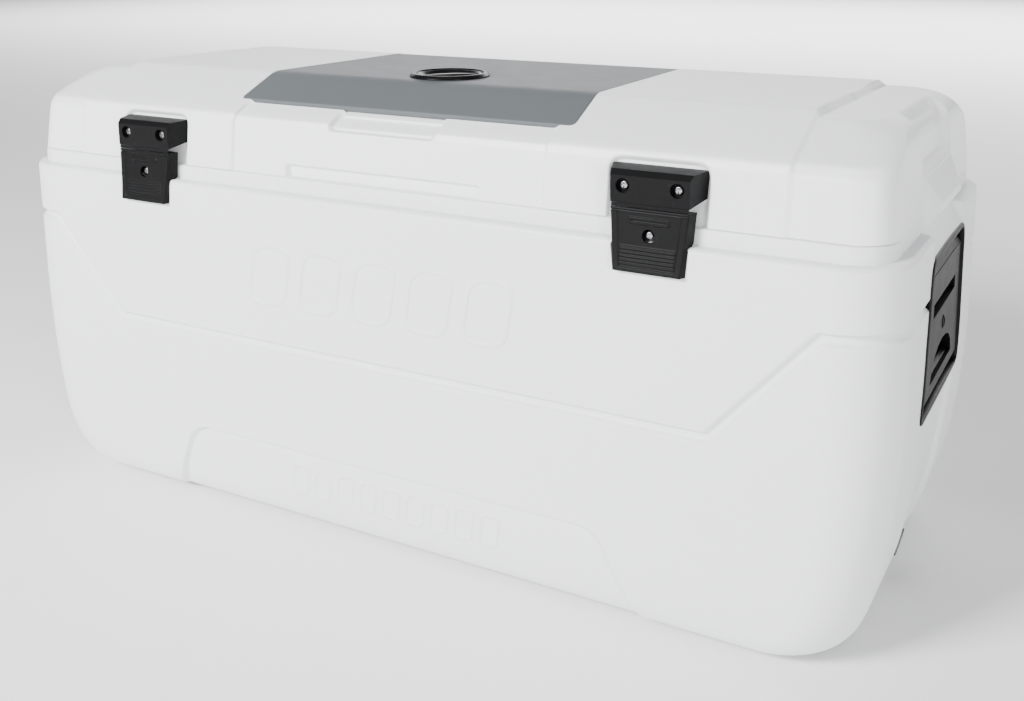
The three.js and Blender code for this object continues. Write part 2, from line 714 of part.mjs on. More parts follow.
// Everything that is taken off the outer surface of the lid, grown by the wall behind it.
function lidHollows(grow) {
  const floor = LID_Z - 20;
  const under = (depth) => crownBlock(depth + grow, floor - 5, farX);
  const pocketHalf = LATCH.half + LATCH_POCKET.margin + 3 + grow;
  const pocketTop = LATCH.topZ + LATCH_POCKET.margin + grow;
  const pocket = (x) => box(x - pocketHalf, x + pocketHalf, -farY, -LATCH_INSIDE, floor, pocketTop);
  const front = FRONT_PANEL.half + grow;
  const notch = FINGER_NOTCH.half + grow;
  const lip = LIP_RECESS.half + grow;
  const lipZ = wallTopZ + 22;
  const seat = alongZ(hatchOutline(HATCH.gap + grow), LID_Z + 45, TOP_Z + 30);
  const end = LID_END_CHANNEL.half + grow;
  const channelStart = HALF_LENGTH - LID_END_CHANNEL.length - grow;
  const endBox = box(-farX, farX, -end, end, LID_Z + LID_END_CHANNEL.rise - grow, TOP_Z + 30);
  const ends = endBox
    .subtract(lidShoulders(LID_END_CHANNEL.depth + grow, floor))
    .subtract(box(-channelStart, channelStart, -farY, farY, floor, TOP_Z + 40));
  return union(
    pocket(LATCH_X).add(pocket(-LATCH_X)).subtract(under(LATCH_POCKET.depth)),
    box(-front, front, -farY, -LATCH_INSIDE, floor, wallTopZ + 10 + grow).subtract(
      under(FRONT_PANEL.depth),
    ),
    box(-notch, notch, -farY, -LATCH_INSIDE, floor, LID_Z + FINGER_NOTCH.rise + grow).subtract(
      under(FINGER_NOTCH.depth),
    ),
    box(-lip, lip, -farY, -LATCH_INSIDE, lipZ - LIP_RECESS.height - grow, lipZ + grow).subtract(
      under(LIP_RECESS.depth),
    ),
    seat.subtract(under(HATCH.thickness + GAP)),
    hingeRelief(grow),
    ends,
  );
}

// A lifting tab at the middle of a lid end: a wedge from the wall to a narrow outer edge.
function lidTab(grow) {
  const x = HALF_LENGTH - LID_INSET;
  const ring = (px, half, rise) => [
    [px, -half - grow, LID_Z],
    [px, half + grow, LID_Z],
    [px, half * 0.9 + grow, LID_Z + rise + grow],
    [px, -half * 0.9 - grow, LID_Z + rise + grow],
  ];
  return skinRings([
    ring(x - 18, LID_TAB.rootHalf, LID_TAB.rootHeight + 6),
    ring(x - 2, LID_TAB.rootHalf, LID_TAB.rootHeight),
    ring(x + LID_TAB.reach + grow, LID_TAB.half, LID_TAB.height),
  ]);
}

function throatPrism(grow, z0, z1) {
  const centre = (THROAT.frontY + THROAT.rearY) / 2;
  const halfY = (THROAT.rearY - THROAT.frontY) / 2 + grow;
  const ring = { x: THROAT.half + grow, y: halfY, r: THROAT.corner + grow };
  return loft([{ ...ring, z: z0 }, { ...ring, z: z1 }], 5).translate([0, centre, 0]);
}

function linerDome(grow) {
  const top = LID_Z + LID_LINER.rise + grow;
  const { halfLength, halfDepth, corner } = LID_LINER;
  return loft([
    { z: LID_Z - 10, x: halfLength + grow, y: halfDepth + grow, r: corner + grow },
    { z: top - 8, x: halfLength - 8 + grow, y: halfDepth - 8 + grow, r: corner },
    { z: top, x: halfLength - 16 + grow, y: halfDepth - 16 + grow, r: corner },
  ], 5);
}

const boltZ = TOP_Z - BOLT.drop;

function boltSpace(y0, y1, margin) {
  const half = BOLT.half + margin;
  return box(-half, half, y0, y1, boltZ - BOLT.thickness / 2 - margin, boltZ + BOLT.thickness / 2 + margin);
}

function latchScrewAt(x, radius, y0, y1) {
  return rod("y", x, y0, LATCH_SCREW.z, radius, y1 - y0, 10);
}

const latchScrewXs = [-LATCH_X, LATCH_X].flatMap((x) => [x - LATCH_SCREW.x, x + LATCH_SCREW.x]);

function latchScrewHoles(radius) {
  return union(...latchScrewXs.map((x) => latchScrewAt(x, radius, -farY, -LATCH_SCREW.end + 4)));
}

function hatchPinBore(radius) {
  const z = TOP_Z - HATCH_PIN.drop;
  const half = HATCH_PIN.end + GAP;
  return rod("x", -half, HATCH_PIN.y, z, radius, 2 * half, 12);
}

function lidOuterShell() {
  const outer = lidBlock(0, LID_Z).subtract(lidHollows(0)).add(lidTab(0)).add(mirrorX(lidTab(0)));
  const inner = lidBlock(SKIN, LID_Z - 10).subtract(lidHollows(SKIN));
  return cut(
    outer,
    inner,
    throatPrism(THROAT.wall + GAP, LID_Z + 20, TOP_Z + 20),
    hatchPinBore(HATCH_PIN.radius + GAP),
    latchScrewHoles(LATCH_SCREW.shank + GAP),
  );
}

const linerFlangeZ = LID_Z + 0.4;

function lidLiner() {
  const space = lidBlock(SKIN + GAP, LID_Z - 10).subtract(lidHollows(SKIN + GAP));
  const flange = space.intersect(
    box(-farX, farX, -farY, farY, linerFlangeZ, linerFlangeZ + LID_LINER.wall),
  );
  const dome = linerDome(LID_LINER.wall).intersect(box(-farX, farX, -farY, farY, linerFlangeZ, TOP_Z));
  const seat = crownBlock(HATCH.thickness + GAP, LID_Z - 10, farX);
  const collar = throatPrism(THROAT.wall, LID_Z + LID_LINER.rise - 1, TOP_Z).intersect(seat);
  return cut(
    union(flange, dome).subtract(linerDome(0)).add(collar),
    throatPrism(0, LID_Z - 20, TOP_Z + 20),
    boltSpace(THROAT.frontY - 10, THROAT.frontY + 2, 1),
  );
}

function lidInsulation() {
  return cut(
    lidBlock(FOAM_INSET + 2, linerFlangeZ + LID_LINER.wall + GAP),
    hingeRelief(SKIN + GAP),
    linerDome(LID_LINER.wall + GAP),
    throatPrism(THROAT.wall + GAP, LID_Z - 20, TOP_Z + 20),
    boltSpace(THROAT.frontY - 20, THROAT.frontY, 1.5),
    latchScrewHoles(LATCH_SCREW.shank + GAP),
    hatchPinBore(HATCH_PIN.radius + GAP),
  );
}

// ---------- hatch ----------
function hatchPanel() {
  const sheet = alongZ(hatchOutline(0), LID_Z, TOP_Z + 10)
    .intersect(crownBlock(0))
    .subtract(crownBlock(HATCH.thickness, LID_Z - 10));
  const z = TOP_Z - HATCH_PIN.drop;
  const bossLength = HATCH.rearHalf - 1 - HATCH_PIN.inner;
  const boss = rod("x", HATCH_PIN.inner, HATCH_PIN.y, z, HATCH_PIN.boss, bossLength);
  return cut(
    union(sheet, boss, mirrorX(boss)),
    hatchPinBore(HATCH_PIN.radius + RUNNING),
    rod("z", 0, KNOB.y, TOP_Z - KNOB.seat, KNOB.dial + 0.8, 20, 28),
    rod("z", 0, KNOB.y, TOP_Z - 40, KNOB.shaft + RUNNING, 60),
  );
}

function hatchPin() {
  const { inner, end, y, drop, radius } = HATCH_PIN;
  return rod("x", inner, y, TOP_Z - drop, radius, end - inner, 12);
}

function plugPrism(grow, z0, z1) {
  const front = THROAT.frontY + PLUG.frontClearance - grow;
  const rear = THROAT.rearY - PLUG.clearance + grow;
  const ring = {
    x: THROAT.half - PLUG.clearance + grow,
    y: (rear - front) / 2,
    r: THROAT.corner - 4 + grow,
  };
  return loft([{ ...ring, z: z0 }, { ...ring, z: z1 }], 5).translate([0, (rear + front) / 2, 0]);
}

const plugFloor = LID_Z + LID_LINER.rise + PLUG.bottomGap;
const underPanel = () => crownBlock(HATCH.thickness + GAP, LID_Z - 10);

function hatchPlug() {
  const outer = plugPrism(0, plugFloor, TOP_Z).intersect(underPanel());
  const inner = plugPrism(-PLUG.wall, plugFloor + PLUG.wall, TOP_Z + 5);
  return cut(outer, inner, boltSpace(THROAT.frontY, THROAT.frontY + 20, 0.6));
}

function hatchInsulation() {
  const foam = plugPrism(-PLUG.wall - GAP, plugFloor + PLUG.wall + GAP, TOP_Z).intersect(underPanel());
  return cut(
    foam,
    boltSpace(THROAT.frontY, BOLT.front + BOLT.length + 1, 0.6),
    rod("z", 0, KNOB.y, boltZ - 6, KNOB.shaft + 1, 60),
  );
}

function hatchSeal() {
  const z = TOP_Z - SEAL.drop;
  const wide = plugPrism(SEAL.side, z, z + SEAL.height);
  const long = plugPrism(GAP, z, z + SEAL.height).translate([0, -(SEAL.front - GAP), 0]);
  return wide.add(long).subtract(plugPrism(GAP, z - 5, z + SEAL.height + 5));
}

function lathe(points, sides) {
  const geometry = new THREE.LatheGeometry(points.map(([r, z]) => new THREE.Vector2(r, z)), sides);
  geometry.rotateX(QUARTER);
  return solid(geometry);
}

function knobRing() {
  const { ring, ringInner, ringRise } = KNOB;
  const profile = [
    [ringInner, GAP],
    [ring, GAP],
    [ring, 1.5],
    [ring - 2, ringRise - 0.6],
    [ring - 3.5, ringRise],
    [ringInner + 1, ringRise],
    [ringInner, ringRise - 1.4],
    [ringInner, GAP],
  ];
  return lathe(profile, 32).translate([0, KNOB.y, TOP_Z]);
}

function hatchKnob() {
  const base = -KNOB.seat + GAP;
  const dish = lathe(
    [
      [0, base],
      [KNOB.dial, base],
      [KNOB.dial, 3],
      [KNOB.dial - 2, 3.4],
      [KNOB.dial - 5, base + 3],
      [0, base + 2],
    ],
    28,
  );
  const { half, width, rise } = KNOB_BAR;
  const bar = box(-half, half, -width / 2, width / 2, base + 1, rise);
  const shaft = rod("z", 0, 0, -BOLT.drop - BOLT.thickness / 2, KNOB.shaft, BOLT.drop);
  return union(dish, bar.rotate([0, 0, KNOB_BAR.angle]), shaft).translate([0, KNOB.y, TOP_Z]);
}

// ---------- latches ----------
// A YZ outline swept across the latch, whose half width changes over its face.
function acrossLatch(shape, halfAt) {
  const geometry = extrude(shape, 2);
  geometry.applyMatrix4(new THREE.Matrix4().set(0, 0, 1, -1, 1, 0, 0, 0, 0, 1, 0, 0, 0, 0, 0, 1));
  const position = geometry.getAttribute("position");
  for (let i = 0; i < position.count; i++) {
    const half = halfAt(position.getY(i), position.getZ(i));
    position.setX(i, position.getX(i) * half);
  }
  return solid(geometry);
}

const bracketBottom = LATCH.hingeZ + LATCH.hingeGap / 2;
const flapTop = LATCH.hingeZ - LATCH.hingeGap / 2;

function latchBracket() {
  const { front, topZ, bevel } = LATCH;
  const outline = shapeOf([
    [-front, bracketBottom],
    [-front + 26, bracketBottom + 7],
    [-front + 30, topZ + 2],
    [-front + bevel, topZ],
    [-front, topZ - bevel],
  ]);
  const body = acrossLatch(outline, (y) => LATCH.half + (y + front) * LATCH.draft);
  const sinks = [-1, 1].map((side) => {
    const x = side * LATCH_SCREW.x;
    return rod("y", x, -farY, LATCH_SCREW.z, LATCH_SCREW.sink, farY - front + LATCH_SCREW.sinkDepth, 14);
  });
  const boreAt = (x) => latchScrewAt(x, LATCH_SCREW.shank + GAP, -farY, -LATCH_INSIDE);
  const bores = [-LATCH_SCREW.x, LATCH_SCREW.x].map(boreAt);
  return cut(body, crownBlock(LATCH_POCKET.depth - GAP, LID_Z - 20), ...sinks, ...bores);
}

function latchScrew() {
  const seat = -LATCH.front + LATCH_SCREW.sinkDepth - GAP;
  const { z, head, headHeight, shank, end } = LATCH_SCREW;
  return rod("y", 0, seat - headHeight, z, head, headHeight, 12).add(latchScrewAt(0, shank, seat - 1, -end));
}

function latchWeb() {
  const half = LATCH.half - 1;
  const front = -LATCH.front;
  return box(-half, half, front, front + WEB_THICKNESS, flapTop + GAP, bracketBottom - GAP);
}

function latchFlap() {
  const { bottomZ, bottomFront, bottomHalf } = FLAP;
  const outline = shapeOf([
    [-LATCH.front, flapTop],
    [-bottomFront, bottomZ + 2],
    [-bottomFront + 2, bottomZ],
    [-CATCH.lip, bottomZ],
    [-CATCH.lip, CATCH.bottomZ - 8],
    [-CATCH.front - 1, CATCH.bottomZ - 2],
    [-CATCH.front + 8, CATCH.bottomZ],
    [-CATCH.front + 8, flapTop - 5],
  ]);
  const share = (z) => (flapTop - z) / (flapTop - bottomZ);
  const body = acrossLatch(outline, (y, z) => {
    const face = LATCH.half + (bottomHalf - LATCH.half) * Math.max(0, share(z));
    return face + (y + LATCH.front + 7 * share(z)) * LATCH.draft;
  });
  const pocket = box(
    -CATCH.half - 3, CATCH.half + 3,
    -CATCH.front - CATCH.pocket, -LATCH_INSIDE,
    CATCH.bottomZ - 6, CATCH.topZ + 4,
  );
  const hole = rod("y", 0, -farY, FLAP.holeZ, FLAP.hole, farY - 200, 14);
  return cut(body, pocket, hole);
}

const neckFront = HALF_DEPTH - RIM_INSET_Y;

function latchCatch() {
  const { front, topZ, bottomZ, half } = CATCH;
  const outline = shapeOf([
    [-neckFront - GAP, bottomZ],
    [-neckFront - GAP, topZ],
    [-neckFront - 5, topZ],
    [-front, topZ - 5],
    [-front, bottomZ + 2],
    [-front + 3, bottomZ],
  ].reverse());
  const bore = rod("y", 0, -farY, FLAP.holeZ, CATCH_SCREW.shank + GAP, farY, 14);
  return alongX(outline, -half, half).subtract(bore);
}

function catchScrew() {
  const head = rod(
    "y", 0, -CATCH.front - CATCH_SCREW.headHeight - GAP, FLAP.holeZ,
    CATCH_SCREW.head, CATCH_SCREW.headHeight, 16,
  );
  const length = CATCH.front - neckFront + 2;
  const shank = rod("y", 0, -CATCH.front - 1, FLAP.holeZ, CATCH_SCREW.shank, length, 14);
  return head.add(shank);
}

function catchScrewHoles() {
  const holes = [-LATCH_X, LATCH_X].map((x) =>
    rod("y", x, -farY, FLAP.holeZ, CATCH_SCREW.shank + GAP, farY - neckFront + 3, 14),
  );
  return union(...holes);
}

// ---------- rear hinges ----------
function hingeBore() {
  return rod("x", -HINGE.half - 1, HINGE.y, HINGE.z, HINGE.pin + GAP, 2 * HINGE.half + 2);
}

function bodyLeaf() {
  const { y, z, half, leaf, knuckle, bodyDrop } = HINGE;
  const wall = HALF_DEPTH + GAP;
  const plate = box(-half, half, wall, wall + leaf, z - bodyDrop, z);
  const barrel = rod("x", -half / 3 + GAP, y, z, knuckle, (2 * half) / 3 - 2 * GAP);
  const relief = (side) => {
    const edges = [side * (half / 3 - GAP), side * (half + 1)].sort((a, b) => a - b);
    return box(...edges, wall - 1, y + 20, z - knuckle - 1, z + 20);
  };
  return cut(plate.add(barrel), relief(-1), relief(1), hingeBore());
}

function lidLeaf() {
  const { y, z, half, leaf, knuckle, lidRise } = HINGE;
  const low = z + knuckle - leaf;
  const high = z + lidRise;
  const foot = shapeOf([
    [wallHalfAt(low) + GAP, low],
    [y, low],
    [y, low + leaf],
    [wallHalfAt(low) + GAP + leaf, low + leaf],
    [wallHalfAt(high) + GAP + leaf, high],
    [wallHalfAt(high) + GAP, high],
  ]);
  const barrel = (x0) => rod("x", x0, y, z, knuckle, (2 * half) / 3);
  const middle = box(-half / 3, half / 3, y - knuckle - 3, y + 20, z - 20, z + knuckle + 1);
  return cut(union(alongX(foot, -half, half), barrel(-half), barrel(half / 3)), middle, hingeBore());
}

function hingePin() {
  return rod("x", -HINGE.half, HINGE.y, HINGE.z, HINGE.pin, 2 * HINGE.half);
}

// ---------- drain ----------
const flangeStart = WASHER_THICKNESS + 2 * GAP;
const capStart = flangeStart + DRAIN.flangeThick + GAP;
const spoutEnd = capStart + DRAIN_CAP.length - DRAIN_CAP.wall - WASHER_THICKNESS - 2 * GAP;

function drainSpout() {
  const tubeStart = DRAIN_NUT.start - 2;
  const tube = drainRod(tubeStart, spoutEnd - tubeStart, DRAIN.tube);
  const flange = drainRod(flangeStart, DRAIN.flangeThick, DRAIN.flange);
  return tube.add(flange).subtract(drainThrough(DRAIN.bore));
}

function drainGasket() {
  const ring = drainRod(GAP, WASHER_THICKNESS, DRAIN.flange - 1);
  return ring.subtract(drainThrough(DRAIN.tube + GAP));
}

function drainNut() {
  const ring = drainRod(DRAIN_NUT.start, DRAIN_NUT.thickness, DRAIN_NUT.radius, 6);
  return ring.subtract(drainThrough(DRAIN.tube + GAP)).intersect(tubBlock(-GAP));
}

function drainCap() {
  const { radius, length, wall } = DRAIN_CAP;
  const cup = drainRod(capStart, length, radius, 20);
  return cup.subtract(drainRod(capStart - 5, length - wall + 5, DRAIN.tube + 2 * GAP));
}

function capWasher() {
  const ring = drainRod(spoutEnd + GAP, WASHER_THICKNESS, DRAIN.tube);
  return ring.subtract(drainThrough(DRAIN.bore));
}

function drainTether() {
  const start = flangeStart + DRAIN.flangeThick / 2;
  const below = DRAIN.flange;
  const x = drainX + start * Math.cos(drainAngle) - below * Math.sin(drainAngle);
  const lowest = DRAIN.z - start * Math.sin(drainAngle) - below * Math.cos(drainAngle);
  const z = lowest - TETHER.radius - GAP;
  const { loop } = TETHER;
  const route = new THREE.CatmullRomCurve3([
    new THREE.Vector3(x, -2, z),
    new THREE.Vector3(x + 1, -loop * 0.7, z - loop * 0.5),
    new THREE.Vector3(x + 2, -loop * 0.4, z - loop * 1.1),
    new THREE.Vector3(x + 3, loop * 0.4, z - loop * 1.1),
    new THREE.Vector3(x + 4, loop * 0.6, z - loop * 0.5),
    new THREE.Vector3(x + 5, 2, z - 1),
  ]);
  const outline = new THREE.Shape().absarc(0, 0, TETHER.radius, 0, 2 * Math.PI);
  const made = new THREE.ExtrudeGeometry(outline, { steps: 16, extrudePath: route, curveSegments: 2 });
  return solid(made);
}

// ---------- assembly ----------
piece("body_outer_shell", cut(bodyOuterShell(), bezelScrewHoles(BEZEL_SCREW.shank + GAP)), WHITE);
piece("body_insulation", cut(bodyInsulation(), bezelScrewHoles(BEZEL_SCREW.shank + GAP)), FOAM);
piece("body_liner", cut(bodyLiner(), catchScrewHoles()), WHITE);

piece("lid_outer_shell", lidOuterShell(), WHITE);
piece("lid_insulation", lidInsulation(), FOAM);
piece("lid_liner", lidLiner(), WHITE);

piece("hatch_panel", hatchPanel(), GRAY);
piece("hatch_insulation", hatchInsulation(), FOAM);
piece("hatch_plug", hatchPlug(), GRAY);
piece("hatch_seal", hatchSeal(), RUBBER);
piece("knob_ring", knobRing(), BLACK);
piece("hatch_knob", hatchKnob(), BLACK);
piece("hatch_lock_bolt", boltSpace(BOLT.front, BOLT.front + BOLT.length, 0), BLACK);

for (const [side, sx] of [["left", -1], ["right", 1]]) {
  const facing = (shape) => (sx < 0 ? mirrorX(shape) : shape);
  piece("handle_bezel_" + side, facing(handleBezel()), BLACK);
  piece("handle_grip_" + side, facing(handleGrip()), BLACK);
  piece("handle_rod_" + side, facing(handleRod()), STEEL);
  for (const [end, sy] of [["front", -1], ["rear", 1]]) {
    piece("bezel_screw_" + side + "_" + end, bezelScrew(sx, sy), STEEL);
  }

  const x = sx * LATCH_X;
  const placed = (shape, dx = 0) => shape.translate([x + dx, 0, 0]);
  piece("latch_bracket_" + side, placed(latchBracket()), BLACK);
  piece("latch_hinge_web_" + side, placed(latchWeb()), BLACK);
  piece("latch_flap_" + side, placed(latchFlap()), BLACK);
  piece("latch_catch_" + side, placed(latchCatch()), BLACK);
  piece("latch_catch_screw_" + side, placed(catchScrew()), STEEL);
  piece("latch_screw_" + side + "_outer", placed(latchScrew(), sx * LATCH_SCREW.x), STEEL);
  piece("latch_screw_" + side + "_inner", placed(latchScrew(), -sx * LATCH_SCREW.x), STEEL);

  piece("hatch_pin_" + side, facing(hatchPin()), STEEL);
}

["left", "middle", "right"].forEach((place, i) => {
  const placed = (shape) => shape.translate([HINGE_XS[i], 0, 0]);
  piece("hinge_body_leaf_" + place, placed(bodyLeaf()), BLACK);
  piece("hinge_lid_leaf_" + place, placed(lidLeaf()), BLACK);
  piece("hinge_pin_" + place, placed(hingePin()), STEEL);
});

piece("drain_spout", drainSpout(), DRAIN_GRAY);
piece("drain_gasket", drainGasket(), RUBBER);
piece("drain_nut", drainNut(), DRAIN_GRAY);
piece("drain_cap", drainCap(), DRAIN_GRAY);
piece("drain_cap_washer", capWasher(), RUBBER);
piece("drain_tether", drainTether(), BLACK);

export default part;
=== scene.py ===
# Looks of the chest cooler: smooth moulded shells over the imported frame, hatch, knob, latches,
# handles, drain, materials, studio and camera. Helper sizes are in millimetres, objects in metres.
import json
import math

import bmesh
import bpy
import numpy as np
from mathutils import Matrix, Vector


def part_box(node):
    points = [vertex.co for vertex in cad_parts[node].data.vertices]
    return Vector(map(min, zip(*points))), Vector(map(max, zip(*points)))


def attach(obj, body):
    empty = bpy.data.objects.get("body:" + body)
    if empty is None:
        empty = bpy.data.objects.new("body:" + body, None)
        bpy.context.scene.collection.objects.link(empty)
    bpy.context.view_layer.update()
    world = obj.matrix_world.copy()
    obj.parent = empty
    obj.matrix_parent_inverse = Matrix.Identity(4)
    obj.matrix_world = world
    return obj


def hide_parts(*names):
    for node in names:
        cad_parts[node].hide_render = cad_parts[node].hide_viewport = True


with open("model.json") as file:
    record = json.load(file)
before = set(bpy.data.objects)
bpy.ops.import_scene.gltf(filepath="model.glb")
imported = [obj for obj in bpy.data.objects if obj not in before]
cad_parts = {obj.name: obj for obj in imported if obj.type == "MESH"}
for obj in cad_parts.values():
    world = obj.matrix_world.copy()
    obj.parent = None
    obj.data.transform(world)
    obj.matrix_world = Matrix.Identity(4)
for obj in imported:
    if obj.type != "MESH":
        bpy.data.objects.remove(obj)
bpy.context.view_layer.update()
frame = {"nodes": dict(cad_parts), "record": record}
NODES = frame["nodes"]
MM = 0.001
COARSE = 1.0
SIDES = ("left", "right")


def node_box(name):
    low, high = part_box(name)
    return np.array(low) / MM, np.array(high) / MM


# ---------- camera and studio ----------
def make_camera():
    yaw, pitch, roll = math.radians(27.97), math.radians(10.99), math.radians(-0.06)
    place = Vector((0.7122, -1.1553, 0.6668))
    forward = Vector((-math.sin(yaw) * math.cos(pitch), math.cos(yaw) * math.cos(pitch), -math.sin(pitch)))
    camera = bpy.data.objects.new("camera", bpy.data.cameras.new("camera"))
    turn = forward.to_track_quat("-Z", "Y").to_matrix().to_4x4()
    camera.matrix_world = Matrix.Translation(place) @ turn @ Matrix.Rotation(roll, 4, "Z")
    camera.data.sensor_width = 36
    camera.data.lens = 40.32
    camera.data.shift_x = -0.0429
    camera.data.shift_y = -0.1851
    camera.data.clip_start = 0.05
    bpy.context.collection.objects.link(camera)
    bpy.context.scene.camera = camera


def area_light(name, place, target, size, power):
    light = bpy.data.lights.new(name, "AREA")
    light.shape = "RECTANGLE"
    light.size, light.size_y = size
    light.energy = power
    lamp = bpy.data.objects.new(name, light)
    lamp.location = place
    lamp.rotation_euler = (Vector(target) - Vector(place)).to_track_quat("-Z", "Y").to_euler()
    bpy.context.collection.objects.link(lamp)


make_camera()


# ---------- mesh helpers ----------
def link(name, mesh):
    obj = bpy.data.objects.new(name, mesh)
    bpy.context.collection.objects.link(obj)
    return obj


def soft_step(t):
    t = np.clip(t, 0, 1)
    return t * t * (3 - 2 * t)


def inside(distance, soft):
    """1 well inside a signed distance, 0 well outside, with a rounded slope between."""
    return soft_step(0.5 - distance / soft)


def join_max(a, b, radius):
    """The larger of two distances with a rounded corner."""
    h = np.clip(radius - np.abs(a - b), 0, None)
    return np.maximum(a, b) + h * h / (4 * radius)


def grid_mesh(name, points):
    """A skin through rings of points (levels, around, 3) in mm, with its ends closed."""
    levels, around = points.shape[:2]
    verts = points.reshape(-1, 3)
    i = np.arange(levels - 1)[:, None] * around
    j = np.arange(around)[None, :]
    k = (j + 1) % around
    quads = np.stack([i + j, i + k, i + around + k, i + around + j], -1).reshape(-1, 4)
    faces = quads.tolist()
    faces.append(list(range(around))[::-1])
    faces.append(list(range((levels - 1) * around, levels * around)))
    mesh = bpy.data.meshes.new(name)
    mesh.from_pydata((verts * MM).tolist(), [], faces)
    mesh.shade_smooth()
    return link(name, mesh)


def face_outwards(obj):
    bm = bmesh.new()
    bm.from_mesh(obj.data)
    bmesh.ops.recalc_face_normals(bm, faces=bm.faces)
    bm.to_mesh(obj.data)
    bm.free()
    return obj


def sharpen(obj, degrees=38):
    """Smooth faces everywhere, with hard edges only where the surface really turns."""
    bm = bmesh.new()
    bm.from_mesh(obj.data)
    for face in bm.faces:
        face.smooth = True
    limit = math.radians(degrees)
    for edge in bm.edges:
        edge.smooth = len(edge.link_faces) == 2 and edge.calc_face_angle(0) < limit
    bm.to_mesh(obj.data)
    bm.free()
    return obj


def bevel(obj, width, segments=2, degrees=35):
    mod = obj.modifiers.new("soft_edges", "BEVEL")
    mod.width = width * MM
    mod.segments = segments
    mod.limit_method = "ANGLE"
    mod.angle_limit = math.radians(degrees)
    mod.use_clamp_overlap = True
    mod.harden_normals = False
    return obj


def baked(obj):
    """Applies an own object's modifiers."""
    graph = bpy.context.evaluated_depsgraph_get()
    mesh = bpy.data.meshes.new_from_object(obj.evaluated_get(graph))
    obj.modifiers.clear()
    obj.data = mesh
    return obj


def boolean(obj, cutters, operation="DIFFERENCE"):
    for cutter in cutters:
        mod = obj.modifiers.new("cut", "BOOLEAN")
        mod.operation = operation
        mod.solver = "EXACT"
        mod.object = cutter
    baked(obj)
    for cutter in cutters:
        bpy.data.objects.remove(cutter)
    return obj


def rounded(half_x, half_y, radius, steps=14):
    radius = max(0.2, min(radius, half_x - 0.1, half_y - 0.1))
    points = []
    for corner in range(4):
        cx = (1 if corner in (0, 3) else -1) * (half_x - radius)
        cy = (1 if corner < 2 else -1) * (half_y - radius)
        angles = (corner + np.linspace(0, 1, steps + 1)) * math.pi / 2
        points.append(np.stack([cx + radius * np.cos(angles), cy + radius * np.sin(angles)], 1))
    return np.concatenate(points)


def loft(name, levels, steps=14):
    """levels: (z, half_x, half_y, radius), from the lowest."""
    rings = [np.column_stack([rounded(x, y, r, steps), np.full((steps + 1) * 4, z)]) for z, x, y, r in levels]
    return grid_mesh(name, np.array(rings))


def prism(name, outline, low, high, axis):
    """A closed outline (n, 2) pushed along an axis; the outline turns left when seen from its far end."""
    outline = np.asarray(outline, float)
    order = {"x": (2, 0, 1), "y": (0, 2, 1), "z": (0, 1, 2)}[axis]
    rings = []
    for level in (low, high):
        ring = np.column_stack([outline, np.full(len(outline), level)])
        rings.append(ring[:, order])
    return face_outwards(grid_mesh(name, np.array(rings)))


def lathe(name, profile, sides, centre, axis=(0, 0, 1)):
    """profile: (radius, height) pairs from the bottom of the axis outwards and up to its top."""
    turn = Vector((0, 0, 1)).rotation_difference(Vector(axis)).to_matrix()
    angles = np.linspace(0, 2 * math.pi, sides, endpoint=False)
    rings = []
    for radius, height in profile:
        r = np.full(sides, max(radius, 0.01))
        ring = np.column_stack([r * np.cos(angles), r * np.sin(angles), np.full(sides, height)])
        rings.append(ring @ np.array(turn).T + np.array(centre))
    return grid_mesh(name, np.array(rings))


def rounded_profile(corners, radius=0.8, steps=4):
    """Rounds the corners of a (radius, height) profile."""
    points = [np.array(corners[0], float)]
    for before, corner, after in zip(corners, corners[1:], corners[2:]):
        b, c, a = (np.array(p, float) for p in (before, corner, after))
        to_b, to_a = b - c, a - c
        reach = min(radius, np.linalg.norm(to_b) / 2.2, np.linalg.norm(to_a) / 2.2)
        start = c + to_b / np.linalg.norm(to_b) * reach
        end = c + to_a / np.linalg.norm(to_a) * reach
        for t in np.linspace(0, 1, steps + 1):
            points.append((1 - t) ** 2 * start + 2 * t * (1 - t) * c + t * t * end)
    points.append(np.array(corners[-1], float))
    return points


def round_corners(corners, reaches, steps):
    """Rounds each corner of a closed outline, reaching that far along its two sides."""
    points = []
    for i, reach in enumerate(reaches):
        c, b, a = (np.array(corners[k % len(corners)], float) for k in (i, i - 1, i + 1))
        start = c + (b - c) / np.linalg.norm(b - c) * reach
        end = c + (a - c) / np.linalg.norm(a - c) * reach
        for t in np.linspace(0, 1, steps + 1):
            points.append((1 - t) ** 2 * start + 2 * t * (1 - t) * c + t * t * end)
    return np.array(points)


def samples(low, high, step, fine=(), fine_step=0.8, reach=6):
    """Positions from low to high, closer together near each place in fine."""
    places = [low]
    while places[-1] < high:
        near = min((abs(places[-1] - f) for f in fine), default=1e9)
        gap = fine_step if near < reach else step
        places.append(places[-1] + gap * COARSE)
    places = np.array(places)
    return low + (places - low) * (high - low) / (places[-1] - low)


def normals_of(points):
    around = np.roll(points, -1, 1) - np.roll(points, 1, 1)
    up = np.gradient(points, axis=0)
    cross = np.cross(around, up)
    return cross / np.maximum(np.linalg.norm(cross, axis=2, keepdims=True), 1e-9)


